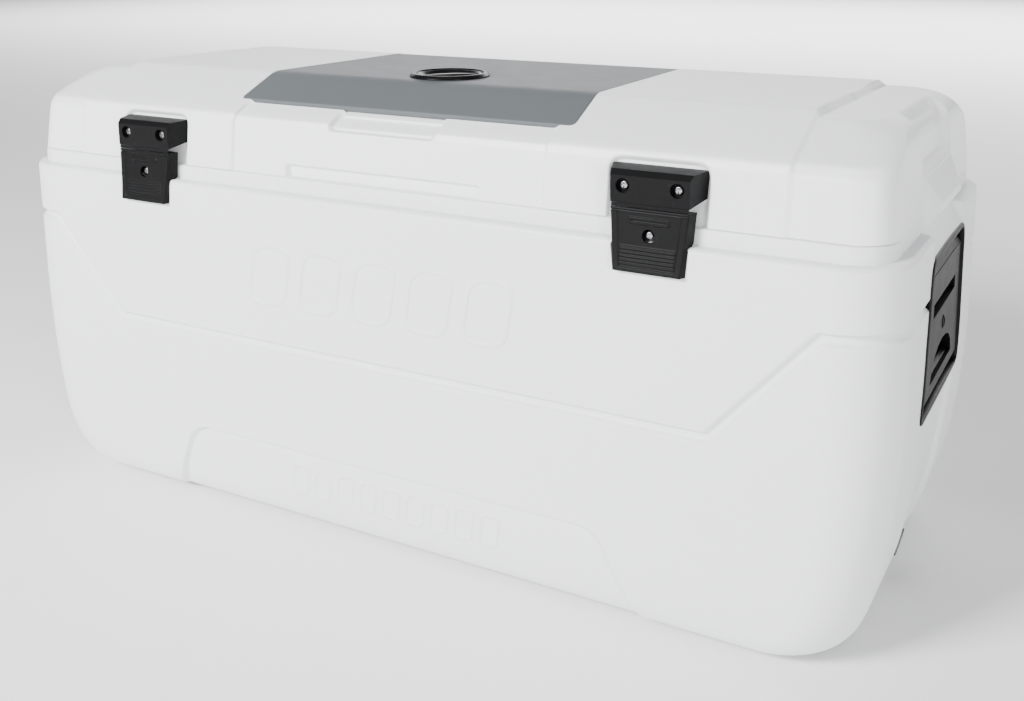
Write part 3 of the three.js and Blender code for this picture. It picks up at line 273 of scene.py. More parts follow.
# ---------- procedural materials ----------
def material(name, colour, roughness, metallic=0.0, specks=0.0, grain=0.0, grain_scale=900.0,
             waves=0.0, specular=0.5):
    """Moulded plastic or metal: slight colour and gloss variation, with fine and broad relief."""
    made = bpy.data.materials.new(name)
    made.use_nodes = True
    nodes, links = made.node_tree.nodes, made.node_tree.links
    shader = nodes["Principled BSDF"]
    shader.inputs["Metallic"].default_value = metallic
    shader.inputs["Specular IOR Level"].default_value = specular
    place = nodes.new("ShaderNodeTexCoord")

    def noise(scale, detail=3.0):
        made_noise = nodes.new("ShaderNodeTexNoise")
        made_noise.inputs["Scale"].default_value = scale
        made_noise.inputs["Detail"].default_value = detail
        links.new(place.outputs["Object"], made_noise.inputs["Vector"])
        return made_noise.outputs["Fac"]

    tint = nodes.new("ShaderNodeMix")
    tint.data_type = "RGBA"
    tint.inputs["A"].default_value = (*[c * (1 - specks) for c in colour], 1)
    tint.inputs["B"].default_value = (*[min(1, c * (1 + specks)) for c in colour], 1)
    links.new(noise(7.0), tint.inputs["Factor"])
    links.new(tint.outputs["Result"], shader.inputs["Base Color"])
    gloss = nodes.new("ShaderNodeMapRange")
    gloss.inputs["To Min"].default_value = roughness - 0.05
    gloss.inputs["To Max"].default_value = roughness + 0.05
    links.new(noise(40.0), gloss.inputs["Value"])
    links.new(gloss.outputs["Result"], shader.inputs["Roughness"])
    last = None
    for height, scale in ((grain, grain_scale), (waves, 28.0)):
        if not height:
            continue
        bump = nodes.new("ShaderNodeBump")
        bump.inputs["Distance"].default_value = height * MM
        links.new(noise(scale, 2.0), bump.inputs["Height"])
        if last:
            links.new(last, bump.inputs["Normal"])
        last = bump.outputs["Normal"]
    if last:
        links.new(last, shader.inputs["Normal"])
    return made


WHITE_BODY = material("white_body", (0.80, 0.81, 0.82), 0.42, specks=0.010, grain=0.10, grain_scale=600,
                      waves=0.25, specular=0.35)
WHITE_LID = material("white_lid", (0.85, 0.86, 0.87), 0.38, specks=0.008, grain=0.03, grain_scale=900,
                     waves=0.12, specular=0.35)
HATCH_GRAY = material("hatch_gray", (0.100, 0.110, 0.117), 0.48, specks=0.04, grain=0.05, grain_scale=1300,
                      specular=0.12)
BLACK = material("black_plastic", (0.003, 0.003, 0.0034), 0.42, specks=0.15, grain=0.05, grain_scale=1500,
                 specular=0.14)
LATCH_BLACK = material("latch_black", (0.003, 0.003, 0.0034), 0.48, specks=0.15, grain=0.05, grain_scale=1700,
                       specular=0.12)
KNOB_BLACK = material("knob_black", (0.004, 0.004, 0.0045), 0.30, specks=0.15, grain=0.02, grain_scale=1500,
                      specular=0.12)
DRAIN_GRAY = material("drain_gray", (0.055, 0.060, 0.065), 0.50, specks=0.06, grain=0.05, grain_scale=1400,
                      specular=0.35)
FOAM = material("foam", (0.70, 0.60, 0.36), 0.9, specks=0.08, grain=0.5, grain_scale=500, specular=0.2)
STEEL = material("steel", (0.30, 0.30, 0.31), 0.28, metallic=1.0, specks=0.05, grain=0.02, grain_scale=2500)
RUBBER = material("rubber", (0.007, 0.007, 0.008), 0.65, specks=0.1, grain=0.06, grain_scale=1600,
                  specular=0.25)
LOOKS = {
    "white_shell": WHITE_BODY, "gray_hatch": HATCH_GRAY, "black_plastic": BLACK, "black_latch": LATCH_BLACK,
    "gray_drain": DRAIN_GRAY, "foam": FOAM, "steel": STEEL, "rubber_seal": RUBBER,
}


def dress(obj, look):
    obj.data.materials.clear()
    obj.data.materials.append(look)
    return obj


def place_on(obj, body, slot, look, *replaced):
    dress(obj, look)
    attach(obj, body)
    if replaced:
        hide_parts(*replaced)
    return obj


# ---------- body ----------
body_high = node_box("body_outer_shell")[1]
HALF_LENGTH, HALF_DEPTH, LEDGE = body_high
FOOT = 8.0
CORNER = 63.0
rim_high = node_box("body_liner")[1]
NECK = (rim_high[0], rim_high[1])
RIM = rim_high[2]


def body_size(z):
    """Half length, half depth and corner radius of the body at each height."""
    t = np.clip((z - FOOT) / 262, 1e-6, 1)
    s = np.clip((z - FOOT) / 80, 0, 1)
    half_x = HALF_LENGTH - 70 * (1 - (1 - (1 - t) ** 2) ** 0.4)
    half_y = HALF_DEPTH - 25 * (1 - np.sqrt(1 - (1 - s) ** 2))
    edge = np.clip(z - (LEDGE - 6), 0, 6)
    round_off = 6 - np.sqrt(np.clip(36 - edge ** 2, 0, None))
    return half_x - round_off, half_y - round_off, np.full_like(z, CORNER) - round_off


def around_ring(half_x, half_y, radius, front, ends, back, full_x, full_y, keep=330, steps=20):
    """One ring, counterclockwise seen from above, whose sides keep their sample places."""
    def fit(places, reach, full, kept):
        size = np.abs(places)
        far = kept + (size - kept) * (reach - kept) / (full - kept)
        return np.sign(places) * np.where(size > kept, far, size)
    flat_x, flat_y = half_x - radius, half_y - radius
    kept_x, kept_y = min(keep, flat_x * 0.9), flat_y * 0.7
    angles = np.linspace(0, math.pi / 2, steps + 1)[1:-1]
    def corner(sx, sy, start):
        turn = start + angles
        return np.column_stack([sx * flat_x + radius * np.cos(turn), sy * flat_y + radius * np.sin(turn)])
    fx = fit(front, flat_x, full_x, kept_x)
    ey = fit(ends, flat_y, full_y, kept_y)
    bx = fit(back, flat_x, full_x, kept_x)
    return np.concatenate([
        np.column_stack([fx, np.full(len(fx), -half_y)]),
        corner(1, -1, -math.pi / 2),
        np.column_stack([np.full(len(ey), half_x), ey]),
        corner(1, 1, 0),
        np.column_stack([-bx, np.full(len(bx), half_y)]),
        corner(-1, 1, math.pi / 2),
        np.column_stack([np.full(len(ey), -half_x), -ey]),
        corner(-1, -1, math.pi),
    ])


def slanted_bar(x, z, centre_x, centre_z, half_w, half_h, slant, radius):
    """Signed distance to a rounded bar leaning to the right."""
    u = np.abs(x - centre_x - (z - centre_z) * slant) - half_w
    v = np.abs(z - centre_z) - half_h
    return join_max(u, v, radius)


def raised_outline(distance, width, height):
    return height * inside(np.abs(distance) - width / 2, 1.6)


def body_relief(x, y, z):
    """How far the body's surface stands back from its plain form."""
    ax, ay = np.abs(x), np.abs(y)
    depth = np.zeros_like(x)
    # groove: level at the ends, slanting down to a low middle run
    high, low, knee_out, knee_in = 332, 220, 475, 374.5
    slope_len = math.hypot(knee_out - knee_in, high - low)
    level = np.where(ax > knee_out, np.abs(z - high), 1e3)
    run = np.where(ax < knee_in, np.abs(z - low), 1e3)
    along = ((ax - knee_in) * (knee_out - knee_in) + (z - low) * (high - low)) / slope_len ** 2
    t = np.clip(along, 0, 1)
    slant = np.hypot(ax - knee_in - t * (knee_out - knee_in), z - low - t * (high - low))
    groove = np.minimum(np.minimum(level, run), slant)
    depth += 5.0 * (1 - soft_step((groove - 2.0) / 4.2))
    # base panel
    on_face = inside(185 - ay, 10)
    side = (ax - 263 - (101 - z) * 0.4516) * 0.911
    panel = join_max(z - 101, side, 22)
    depth += 5.2 * inside(panel, 4.0) * on_face
    # channel below each handle
    on_end = inside(440 - ax, 20)
    channel = join_max(ay - 62 - (z - FOOT) * 0.15, z - 240, 10)
    depth += 6.0 * inside(channel, 8) * on_end
    # generic raised bars in the middle of the front, and small ones on the base panel
    front = y < -150
    for i in range(5):
        bar = slanted_bar(x, z, 4 + (i - 2) * 70, 303, 25, 33, 0.18, 18)
        depth -= raised_outline(bar, 3.4, 1.5) * front
    for i in range(9):
        bar = slanted_bar(x, z, 15 + (i - 4) * 31, 65, 10.5, 18, 0.18, 8)
        depth -= raised_outline(bar, 2.8, 1.3) * front
    return depth


def body_shell():
    full_x, full_y = HALF_LENGTH - CORNER, HALF_DEPTH - CORNER
    step = 1.3
    inner = samples(-190, 190, step)
    wing = samples(190, full_x, 2.6)
    front = np.concatenate([-wing[::-1][:-1], inner, wing[1:]])
    back = samples(-full_x, full_x, 3.0)
    ends = samples(-full_y, full_y, 3.4, fine=(-80, 80, -98, 98), fine_step=1.2)
    z = np.concatenate([
        FOOT + 20 * np.linspace(0, 1, 16) ** 2.2,
        samples(29, 108, 1.4), samples(109.5, 208, 2.4), samples(209.5, 342, 1.3),
        samples(344, LEDGE - 8, 2.2), LEDGE - 6 + 6 * np.sin(np.linspace(0, 1, 9) * math.pi / 2),
    ])
    half_x, half_y, radius = body_size(z)
    rings = []
    for a, b, r, level in zip(half_x, half_y, radius, z):
        ring = around_ring(a, b, r, front, ends, back, full_x, full_y)
        rings.append(np.column_stack([ring, np.full(len(ring), level)]))
    points = np.array(rings)
    normal = normals_of(points)
    normal[:, :, 2] *= 0.3
    depth = body_relief(points[:, :, 0], points[:, :, 1], points[:, :, 2])
    fade = inside(points[:, :, 2] - (LEDGE - 9), 6)
    points -= normal * (depth * fade)[:, :, None]
    # saddle between the ears of each end
    x, y, level = points[:, :, 0], points[:, :, 1], points[:, :, 2]
    limit = NECK[0] + (LEDGE - level) * (HALF_LENGTH - NECK[0] + 10) / 41
    across = inside(np.abs(y) - 81, 9)
    ax = np.abs(x)
    points[:, :, 0] = np.sign(x) * (ax + (np.minimum(ax, limit) - ax) * across * (level > 340))
    # ledge, closing in towards the neck
    top = points[-1].copy()
    flat = []
    for share in (0.25, 0.6, 1.0):
        ring = top.copy()
        ring[:, :2] = top[:, :2] * (1 - share * np.array([0.045, 0.10]))
        flat.append(ring)
    points = np.concatenate([points, np.array(flat)])
    return grid_mesh("body_shell", points)


def recess_outline():
    """The handle recess in the YZ plane, with its top corners a little rounder than the bottom ones."""
    top_z, bottom_z, top_half, bottom_half = 372, 214, 88, 101
    top_round, bottom_round = 18, 14
    corners = [(-bottom_half, bottom_z), (bottom_half, bottom_z), (top_half, top_z), (-top_half, top_z)]
    return round_corners(corners, (bottom_round, bottom_round, top_round, top_round), 12)


DRAIN_TILT = math.radians(12)
DRAIN_AXIS = (math.cos(DRAIN_TILT), 0, -math.sin(DRAIN_TILT))
DRAIN_AT = np.array([495.0, 0.0, 42.0])


def make_body():
    shell = body_shell()
    cutters = [loft("tub_space", [(26, 440, 150, 40), (60, 478, 178, 40), (LEDGE + 30, 506, 200, 40)])]
    for sx in (-1, 1):
        low, high = sorted((sx * (HALF_LENGTH - 37), sx * (HALF_LENGTH + 30)))
        cutters.append(prism("end_recess", recess_outline(), low, high, "x"))
    cutters.append(lathe("drain_seat", [(0, 0), (23, 0), (23, 60), (0, 60)], 48, DRAIN_AT, DRAIN_AXIS))
    boolean(shell, cutters)
    sharpen(shell, 42)
    place_on(shell, "body", "white_shell", WHITE_BODY, "body_outer_shell")
    for i, (sx, sy) in enumerate([(-1, -1), (1, -1), (-1, 1), (1, 1)]):
        pad = loft(f"foot_pad_{i}", [(0.0, 57, 23, 11), (0.7, 59, 25, 12), (2.5, 60, 26, 12),
                                     (9.5, 61, 27, 12)])
        pad.data.transform(Matrix.Translation((sx * 0.380, sy * 0.150, 0)))
        place_on(pad, "body", "white_shell", WHITE_BODY)


def make_liner():
    neck_x, neck_y = NECK
    rim = loft("rim_and_tub", [
        (LEDGE - 3, neck_x, neck_y, 42), (RIM - 3, neck_x, neck_y, 42),
        (RIM - 0.9, neck_x - 0.8, neck_y - 0.8, 41),
        (RIM, neck_x - 2.8, neck_y - 2.8, 39),
    ], 24)
    tub = loft("tub_outside", [(37, 465, 161, 40), (47, 475, 171, 40), (RIM - 4, 486, 182, 42)], 24)
    boolean(rim, [tub], "UNION")
    boolean(rim, [
        loft("tub_inside", [(40, 452, 148, 36), (43, 460, 156, 38), (52, 472, 168, 40),
                            (RIM - 6, 483, 179, 40), (RIM - 1, 485, 181, 41), (RIM + 8, 494, 190, 48)], 24),
        lathe("bore", [(0, -60), (10.3, -60), (10.3, 30), (0, 30)], 48, DRAIN_AT, DRAIN_AXIS),
    ])
    sharpen(rim)
    place_on(rim, "body", "white_shell", WHITE_BODY, "body_liner")


# ---------- lid ----------
lid_low, lid_high = node_box("lid_outer_shell")
LID_FLOOR = lid_low[2]
LID_TOP = node_box("hatch_panel")[1][2]
SLOPE = math.tan(math.radians(24.4))
CROWN_BEND = 121.5  # half width of the lid's flat top
LID_HALF_DEPTH = 213.5
LID_CORNER = 38
LATCH_X = 316
HATCH_FRONT, HATCH_REAR = -177.6, 131
HATCH_FRONT_HALF, HATCH_REAR_HALF, HATCH_ROUND = 212.5, 203, 7
HATCH_PIN_Y, HATCH_PIN_Z = 121, 508
KNOB_AT = (0, -70, LID_TOP)


def crown_z(y):
    """Height of the raised middle of the lid, with soft bends."""
    ay = np.abs(y)
    slope = LID_TOP - (ay - CROWN_BEND) * SLOPE
    return -join_max(-slope, np.full_like(ay, -LID_TOP), 5.0)


def smooth_along(values, weights):
    kernel = np.exp(-0.5 * (np.arange(-12, 13) / weights) ** 2)
    kernel /= kernel.sum()
    padded = np.concatenate([
        2 * values[0] - values[1:13][::-1], values, 2 * values[-1] - values[-13:-1][::-1],
    ])
    return np.convolve(padded, kernel, "valid")


def lid_profile():
    """Rows of base (half y, z), crown (half y, z), half length and corner radius, from the edge up."""
    wall_top = LID_FLOOR + 54
    rows = []
    def run(count, base_a, base_b, crown_a, crown_b):
        for t in np.linspace(0, 1, count, endpoint=False):
            base = np.array(base_a) + (np.array(base_b) - np.array(base_a)) * t
            crown = np.array(crown_a) + (np.array(crown_b) - np.array(crown_a)) * t
            rows.append([*base, *crown])
    base_top = LID_TOP - 6.5

    def crown_at(y):
        return (y, LID_TOP - (y - CROWN_BEND) * SLOPE)

    def base_at(y):
        return (y, LID_TOP - 2.2 - (y - CROWN_BEND) * SLOPE)

    bend = CROWN_BEND + (LID_TOP - 2.2 - base_top) / SLOPE
    run(34, (LID_HALF_DEPTH, LID_FLOOR), (207, wall_top), (215.5, LID_FLOOR), (209, wall_top))
    run(10, (207, wall_top), (200, wall_top + 9.5), (209, wall_top), (205.5, wall_top + 8.5))
    run(8, (200, wall_top + 9.5), base_at(188), (205.5, wall_top + 8.5), crown_at(196))
    run(36, base_at(188), (bend, base_top), crown_at(196), (CROWN_BEND, LID_TOP))
    run(54, (bend, base_top), (0.3, base_top), (CROWN_BEND, LID_TOP), (0.3, LID_TOP))
    rows.append([0.3, base_top, 0.3, LID_TOP])
    rows = np.array(rows)
    for column in range(4):
        rows[:, column] = smooth_along(rows[:, column], 1.6)
    heights = np.array([412.6, 440, 465, 480, 490, 497, 501.5, 504.5, 506.5, 507.5])
    lengths = np.array([527, 525.4, 523.2, 521.6, 519, 515, 510.5, 505.5, 500, 493])
    on_wall = rows[:, 1] < base_top - 0.4
    half_x = np.interp(rows[:, 1], heights, lengths)
    first_flat = int(np.argmax(~on_wall))
    half_x[first_flat:] = half_x[first_flat - 1] - (rows[first_flat - 1, 0] - rows[first_flat:, 0])
    half_x = smooth_along(half_x, 2.4)
    radius = np.minimum(LID_CORNER, np.maximum(rows[:, 0] - 0.1, 0.2))
    return rows, half_x, radius


def lid_relief(x, y, z):
    """How far the lid's surface stands back from its plain form."""
    ax, ay = np.abs(x), np.abs(y)
    depth = np.zeros_like(x)
    front = (y < 0) & (ax < 500)
    panel = join_max(ax - 198, z - 489, 8)
    depth += 3.4 * inside(panel, 3.6) * front * (ay > 150)
    rise = z - LID_FLOOR
    notch = join_max(ax - 122.5 - 2.2 * np.clip((rise - 7) / 9, -1, 1), rise - 12.5, 5)
    depth += 7.5 * inside(notch, 4) * front
    lip = join_max(ax - 67, np.abs(z - 477.5) - 10, 8)
    depth += 5.5 * inside(lip, 4.5) * front * (ay > 165)
    for sx in (-1, 1):
        pocket = join_max(np.abs(x - sx * LATCH_X) - 49, z - 469, 14)
        depth += 5.2 * inside(pocket, 4) * front * (ay > 185)
    # round-bottomed channel in each end
    channel = join_max(ay - 68 - np.clip((480 - z) * 0.10, 0, 4), 451 - z, 14)
    hollow = join_max(channel, 503 - ax, 14)
    depth += 8.5 * inside(hollow, 16) * (ax > 440)
    # generic scale marks along the rear of the top
    for sx in (-1, 1):
        for i in range(14):
            tall = 9 if i % 5 else 15
            mark = join_max(np.abs(x - sx * (228 + i * 14)) - 1.0, np.abs(y - 150 + tall / 2) - tall / 2, 1.0)
            depth -= 0.7 * inside(mark, 1.6)
    return depth


def make_lid():
    rows, half_x, radius = lid_profile()
    full_x = half_x[0] - LID_CORNER
    edges = (-438, 438, -198, 198, -124, 124, -120, 120, -67, 67, -365, -267, 267, 365)
    front = samples(-full_x, full_x, 3.2, fine=edges, fine_step=0.9, reach=7)
    back = samples(-full_x, full_x, 3.2, fine=(-438, 438), fine_step=0.9, reach=7)
    full_y = LID_HALF_DEPTH - LID_CORNER
    ends = samples(-full_y, full_y, 3.4, fine=(-68, 68), fine_step=1.2, reach=8)
    rings = []
    for (base_y, base_z, top_y, top_z), a, r in zip(rows, half_x, radius):
        ring = around_ring(a, base_y, r, front, ends, back, full_x, full_y, keep=446, steps=18)
        ax = np.abs(ring[:, 0])
        raised = inside(ax - 438 - (ring[:, 1] > 0) * 2, 6.0)
        y = ring[:, 1] * (1 + (top_y / base_y - 1) * raised)
        rings.append(np.column_stack([ring[:, 0], y, base_z + (top_z - base_z) * raised]))
    points = np.array(rings)
    dense = []
    for i in range(len(points) - 1):
        parts = max(1, int(round(np.abs(points[i + 1] - points[i]).max() / (1.9 * COARSE))))
        for k in range(parts):
            dense.append(points[i] + (points[i + 1] - points[i]) * k / parts)
    dense.append(points[-1])
    points = np.array(dense)
    normal = normals_of(points)
    normal[-3:] = (0, 0, 1)
    depth = lid_relief(points[:, :, 0], points[:, :, 1], points[:, :, 2])
    points -= normal * depth[:, :, None]
    shell = grid_mesh("lid_shell", points)
    hollow = loft("lid_hollow", [(LID_FLOOR - 20, 512, 202, 32), (450, 508, 196, 32), (458, 448, 190, 30),
                                 (484, 446, 164, 30), (497, 440, 128, 20)])
    opening = prism("hatch_opening", hatch_outline(0.8), 440, 560, "z")
    boolean(shell, [hollow, opening])
    sharpen(shell, 42)
    place_on(shell, "lid", "white_shell", WHITE_LID, "lid_outer_shell")
    seat_outer = prism("hatch_seat", hatch_outline(4.0), 470, 540, "z")
    make_seat(seat_outer)
    for sx in (-1, 1):
        make_tab(sx)


def make_seat(seat):
    """The ledge around the throat that the hatch lies on."""
    under = crown_block("under_hatch", -7.4)
    boolean(seat, [under], "INTERSECT")
    bottom = crown_block("seat_floor", -11.0)
    throat = prism("seat_throat", rounded(189, 125, 17) + np.array([0, -24]), 400, 560, "z")
    # room for the hatch's rear edge, which turns down behind its pins as the hatch opens
    reach, half = 13.0, 215
    relief = lathe("seat_hinge_room", [(0, -half), (reach, -half), (reach, half), (0, half)], 64,
                   (0, HATCH_PIN_Y, HATCH_PIN_Z), (1, 0, 0))
    boolean(seat, [bottom, throat, relief])
    sharpen(seat)
    place_on(seat, "lid", "white_shell", WHITE_LID)


def crown_block(name, lift):
    """The space under the crown's surface, moved up by lift."""
    y = np.linspace(-205, 205, 90)
    top = np.column_stack([y, crown_z(y) + lift])
    outline = np.concatenate([[(-205, 380), (205, 380)], top[::-1]])
    return prism(name, outline, -300, 300, "x")


def make_tab(sx):
    edge = lid_high[0]
    x = edge - 13.5
    floor = LID_FLOOR
    stations = [(x - 16, 84, 40), (x - 1.5, 83, 36), (edge - 3, 60, 13), (edge, 56, 8)]
    rings = []
    for px, half, rise in stations:
        sides = [(-half, 0), (half, 0), (half * 0.88, rise), (half * 0.25, rise * 0.92),
                 (-half * 0.25, rise * 0.92), (-half * 0.88, rise)]
        rings.append([(sx * px, across, floor + up) for across, up in sides])
    tab = grid_mesh("lid_tab_" + ("right" if sx > 0 else "left"), np.array(rings, float))
    face_outwards(tab)
    baked(bevel(tab, 2.2, 3, 15))
    sharpen(tab, 50)
    place_on(tab, "lid", "white_shell", WHITE_LID)


# ---------- hatch ----------
def hatch_outline(grow):
    """The hatch seen from above, moved outwards by grow: a little wider at its front edge."""
    front_y, rear_y = HATCH_FRONT - grow, HATCH_REAR + grow
    slant = (HATCH_FRONT_HALF - HATCH_REAR_HALF) / (HATCH_REAR - HATCH_FRONT)

    def half(y):
        return HATCH_FRONT_HALF + grow - (y - HATCH_FRONT) * slant

    corners = [(-half(front_y), front_y), (half(front_y), front_y),
               (half(rear_y), rear_y), (-half(rear_y), rear_y)]
    return round_corners(corners, [HATCH_ROUND + grow] * 4, 8)


def filled_outline(outline, step):
    """The same outline with extra points along its straight runs."""
    made = []
    for a, b in zip(outline, np.roll(outline, -1, 0)):
        parts = max(1, int(np.linalg.norm(b - a) / step))
        made.extend(a + (b - a) * k / parts for k in range(parts))
    return np.array(made)


def make_hatch():
    outline = filled_outline(hatch_outline(0), 3.0)
    centre = np.array([0, -23.3])
    radius = 1.2
    rings = []

    def ring(inset, drop):
        flat = outline - (outline - centre) / np.abs(outline - centre).max(0) * inset
        return np.column_stack([flat, crown_z(flat[:, 1]) - drop])
    rings.append(ring(3, 5.0))
    rings.append(ring(0.6, 5.0))
    rings.append(ring(0, 4.4))
    rings.append(ring(0, 3.0))
    for angle in np.linspace(0, math.pi / 2, 6):
        rings.append(ring(radius * (1 - math.cos(angle)), radius * (1 - math.sin(angle))))
    for inset in (3.0, 5.0, 8.0, 12.0):
        rings.append(ring(inset, 0))
    inner = rings[-1][:, :2]
    for share in np.linspace(0, 1, 60)[1:]:
        flat = inner + (centre - inner) * min(share, 0.9995)
        rings.append(np.column_stack([flat, crown_z(flat[:, 1])]))
    panel = grid_mesh("hatch_cover", np.array(rings))
    dish = lathe("knob_dish_space", [(0, -4.5), (37.8, -4.5), (38.2, 0), (38.2, 20), (0, 20)], 96, KNOB_AT)
    boolean(panel, [dish])
    sharpen(panel, 40)
    place_on(panel, "hatch", "gray_hatch", HATCH_GRAY, "hatch_panel")


def make_knob():
    ring_profile = rounded_profile(
        [(37.6, -4), (45, 0.2), (45, 1.4), (42, 4.3), (39.4, 4.6), (37.9, 2.6), (37.6, -4)], 0.7)
    ring = lathe("knob_rim", ring_profile, 128, KNOB_AT)
    place_on(ring, "hatch", "black_plastic", KNOB_BLACK, "knob_ring")
    dish_profile = rounded_profile(
        [(0, -6.8), (36.9, -6.8), (36.9, 2.6), (35.8, 3.4), (33.5, 2.4), (27, -3.2), (0, -4.0)], 1.2)
    dish = lathe("knob_dial", dish_profile, 128, KNOB_AT)
    length, half = 33.0, 6.4
    rows = []
    for u in np.linspace(-1, 1, 41):
        section = []
        for v in np.linspace(-1, 1, 15):
            lift = 2.9 * (1 - 0.35 * abs(v) ** 4) - 2.2 * u ** 2 * (v + 1.2) * 0.35
            section.append((u * length, half * v * (1 - 0.55 * u ** 4) + 4.0 * u, lift))
        section += [(p[0], p[1], -5.5) for p in reversed(section)]
        rows.append(section)
    grip = grid_mesh("knob_grip_bar", np.array(rows))
    face_outwards(grip)
    sharpen(grip, 45)
    grip.data.transform(Matrix.Translation(Vector(KNOB_AT) * MM) @ Matrix.Rotation(math.radians(35), 4, "Z"))
    shaft = lathe("knob_shaft", [(0, -30), (6, -30), (6, -5), (0, -5)], 32, KNOB_AT)
    place_on(dish, "knob", "black_plastic", KNOB_BLACK, "hatch_knob")
    place_on(grip, "knob", "black_plastic", KNOB_BLACK)
    place_on(shaft, "knob", "black_plastic", KNOB_BLACK)


# ---------- latches ----------
def flap_relief(u, z, top, bottom):
    """Detail of the flap's face: frame lines, a plain raised bar, ribs and a smooth lip."""
    down = top - z
    depth = np.zeros_like(u)
    frame_line = join_max(np.abs(u) - 31.5 + down * 0.075, np.abs(z - 398) - 25, 2.0)
    depth += 0.9 * inside(frame_line, 1.0)
    depth += 0.9 * inside(np.abs(down - 3.4) - 0.7, 0.8)
    ribs = inside(np.abs(u) - 27, 1.2) * inside(np.abs(z - 384) - 8.6, 1.0)
    depth -= 0.9 * ribs * (0.5 + 0.5 * np.sin((z - 375) * 2 * math.pi / 3.5))
    bar = join_max(np.abs(u) - 20, np.abs(z - 416) - 3.2, 2.5)
    depth -= 0.9 * inside(bar, 0.9)
    depth += 0.7 * inside(join_max(np.abs(u) - 17, np.abs(z - 416) - 1.2, 1.0), 0.8)
    return depth


def make_flap(side, sx):
    low, high = node_box("latch_flap_" + side)
    top, bottom = high[2], low[2]
    columns = np.linspace(-1, 1, 121)
    heights = np.linspace(0, 1, 131)
    front = -231.0
    back_grow = 2.6
    rows = []
    for share in heights:
        z = bottom + 1.2 + (top - bottom - 1.6) * share
        half = 33.3 + (38.8 - 33.3) * share
        lean = 6.0 * (1 - share) + 1.5 * (1 - share) ** 4
        u = columns * half
        face = np.column_stack([u, np.full(len(u), front - lean), np.full(len(u), z)])
        face[:, 1] += flap_relief(u, face[:, 2], top, bottom)
        edge = np.clip((np.abs(columns) - 0.965) / 0.035, 0, 1)
        face[:, 1] += 1.1 * (1 - np.sqrt(1 - edge ** 2))
        ends = np.clip((1.0 - (top - z) / 1.2), 0, 1) + np.clip(1.0 - (z - bottom - 1.2) / 1.4, 0, 1)
        face[:, 1] += 1.2 * ends ** 2
        if z > 399:
            back_y = -219.0
        elif z > 391:
            back_y = -219.0 - 12.6 * soft_step(np.array((399 - z) / 8))
        else:
            back_y = -231.6
        back_u = columns[::-1] * (half + back_grow)
        back = np.column_stack([back_u, np.full(len(u), back_y), np.full(len(u), z)])
        rows.append(np.concatenate([face, back]))
    flap = grid_mesh("latch_flap_body_" + side, np.array(rows))
    face_outwards(flap)
    cutters = [
        lathe("view_hole", [(0, 0), (6.2, 0), (6.2, 30), (0, 30)], 48, (0, -245, 403), (0, 1, 0)),
        prism("catch_space", [(-23.5, 393), (23.5, 393), (23.5, 414), (-23.5, 414)], -230.3, -200, "y"),
    ]
    boolean(flap, cutters)
    sharpen(flap, 35)
    flap.data.transform(Matrix.Translation((sx * LATCH_X * MM, 0, 0)))
    place_on(flap, "latch_flap_" + side, "black_latch", LATCH_BLACK, "latch_flap_" + side)


def screw_head(name, at, radius, height, body, replaced):
    """A pan head with a cross recess, facing the front."""
    profile = rounded_profile([(0, 0), (radius, 0), (radius, height * 0.45), (radius * 0.7, height),
                               (0, height * 1.08)], 0.5)
    head = lathe(name, profile, 48, at, (0, -1, 0))
    arm, width = radius * 0.62, radius * 0.16
    for half_x, half_z in ((arm, width), (width, arm)):
        x, y, z = at
        slot = prism("cross", [(x - half_x, z - half_z), (x + half_x, z - half_z), (x + half_x, z + half_z),
                               (x - half_x, z + half_z)], y - height * 1.5, y - height * 0.45, "y")
        boolean(head, [slot])
    sharpen(head, 35)
    place_on(head, body, "steel", STEEL, replaced)


def make_latches():
    for side, sx in zip(SIDES, (-1, 1)):
        make_flap(side, sx)
        for end, dx in (("outer", sx), ("inner", -sx)):
            x = sx * LATCH_X + dx * 26.6
            screw_head(f"latch_screw_head_{side}_{end}", (x, -225.2, 447), 4.5, 2.6, "lid",
                       f"latch_screw_{side}_{end}")
        screw_head(f"catch_screw_head_{side}", (sx * LATCH_X, -227.1, 403), 4.2, 2.4, "body",
                   f"latch_catch_screw_{side}")


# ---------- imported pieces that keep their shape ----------
EDGE_WIDTHS = {
    "latch_bracket": 0.9, "handle_grip": 1.6, "handle_bezel": 0.9, "hinge_lid": 0.5, "hinge_body": 0.5,
    "drain_cap": 0.8, "drain_spout": 0.5, "drain_nut": 0.5, "latch_catch": 0.6, "bezel_screw": 0.4,
    "hatch_plug": 1.2, "lid_liner": 1.5, "hatch_seal": 0.8, "hatch_lock": 0.5,
}


def dress_packed():
    slots = {entry["node"]: entry["material_slot"] for entry in frame["record"]["subparts"]}
    for name, obj in NODES.items():
        look = LOOKS[slots[name]]
        if name == "lid_liner":
            look = WHITE_LID
        for slot in obj.material_slots:
            slot.material = look
        if not obj.material_slots:
            obj.data.materials.append(look)
        for start, width in EDGE_WIDTHS.items():
            if name.startswith(start):
                bevel(obj, width, 3)


# ---------- handle trim ----------
def end_surface(y, z):
    """How far out the body's end wall is, with the slope between the ears."""
    wall = body_size(z)[0]
    slope = NECK[0] + (LEDGE - z) * (HALF_LENGTH - NECK[0] + 10) / 41
    return np.where(np.abs(y) < 80, np.minimum(wall, slope), wall)


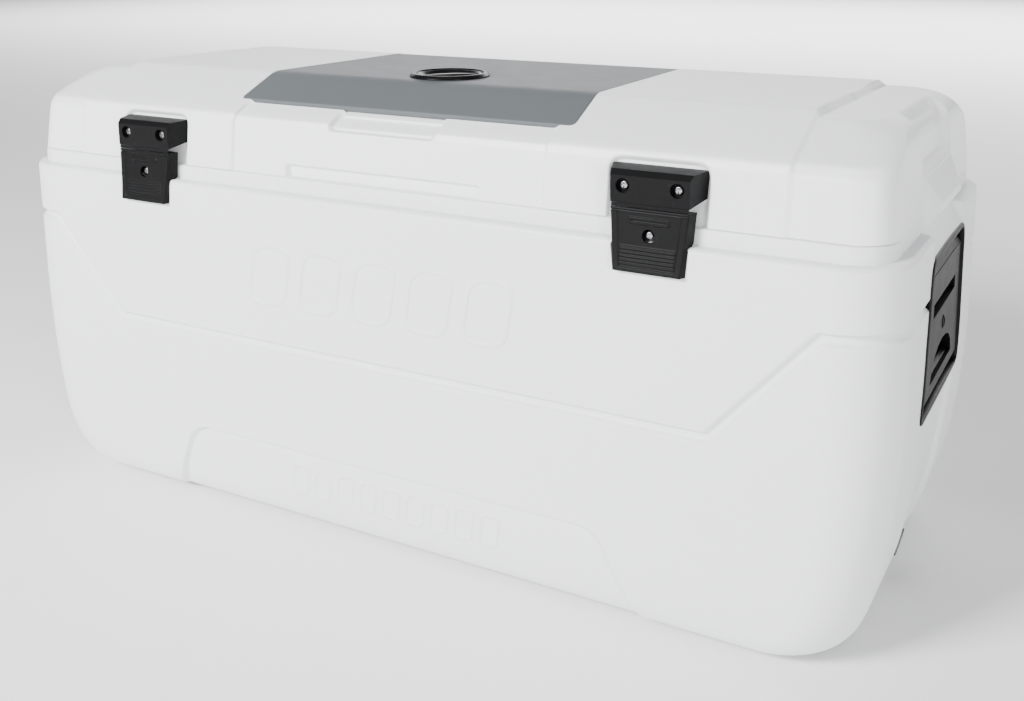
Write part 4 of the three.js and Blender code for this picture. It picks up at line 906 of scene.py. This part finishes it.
def make_bezel(side, sx):
    """A tray in the end recess: floor, walls, and a lip that lies on the body around them."""
    back = HALF_LENGTH - 36.7
    base = filled_outline(recess_outline(), 4)
    centre = np.array([0, 293.0])

    def level(grow, fixed=None, proud=0.0):
        away = (base - centre) / np.linalg.norm(base - centre, axis=1, keepdims=True)
        flat = base + away * grow
        x = np.full(len(flat), fixed) if fixed is not None else end_surface(flat[:, 0], flat[:, 1]) + proud
        return np.column_stack([x, flat])

    rings = [
        level(-0.4, fixed=back), level(-0.4, proud=-3.0), level(-0.4, proud=-0.6),
        level(2.6, proud=-0.4), level(3.0, proud=0.3), level(2.6, proud=1.0), level(1.8, proud=1.5),
        level(-1.0, proud=1.9), level(-2.4, proud=1.7), level(-3.0, proud=1.0), level(-3.2, proud=-4.0),
        level(-3.2, fixed=back + 2.6),
    ]
    points = np.array(rings)
    points[:, :, 0] *= sx
    bezel = grid_mesh("bezel_tray_" + side, points)
    face_outwards(bezel)
    sharpen(bezel, 50)
    place_on(bezel, "body", "black_plastic", BLACK, "handle_bezel_" + side)


def make_badge(side, sx):
    """A plain ring on the handle's plate, where the photographed part has a mark."""
    profile = rounded_profile([(5.2, -0.6), (5.2, 0.9), (7.0, 0.9), (7.0, -0.6), (5.2, -0.6)], 0.4)
    badge = lathe("handle_badge_" + side, profile, 40, (sx * 539.5, 0, 288), (sx, 0, 0))
    sharpen(badge, 40)
    place_on(badge, "handle_" + side, "black_plastic", BLACK)


def make_studio():
    floor_size = 40
    floor = link("floor", bpy.data.meshes.new("floor"))
    bm = bmesh.new()
    bmesh.ops.create_grid(bm, x_segments=2, y_segments=2, size=floor_size)
    bm.to_mesh(floor.data)
    bm.free()
    look = material("floor_paint", (0.93, 0.93, 0.93), 0.7, specks=0.004)
    dress(floor, look)
    world = bpy.data.worlds.new("studio")
    world.use_nodes = True
    world.node_tree.nodes["Background"].inputs["Color"].default_value = (0.97, 0.98, 1, 1)
    world.node_tree.nodes["Background"].inputs["Strength"].default_value = 0.20
    bpy.context.scene.world = world
    area_light("key", (-1.1, -2.8, 1.9), (0, 0, 0.2), (1.1, 0.7), 265)
    area_light("top", (-0.3, -0.2, 3.2), (0, 0, 0.3), (1.6, 1.2), 5)
    area_light("side", (3.0, -2.3, 1.0), (0.5, 0, 0.25), (0.9, 1.2), 95)
    area_light("backdrop", (0, 8.0, 2.8), (0, 7.9, 0), (18, 7), 2200)


dress_packed()
make_body()
make_liner()
make_lid()
make_hatch()
make_knob()
make_latches()
for side, sx in zip(SIDES, (-1, 1)):
    make_bezel(side, sx)
    make_badge(side, sx)
make_studio()
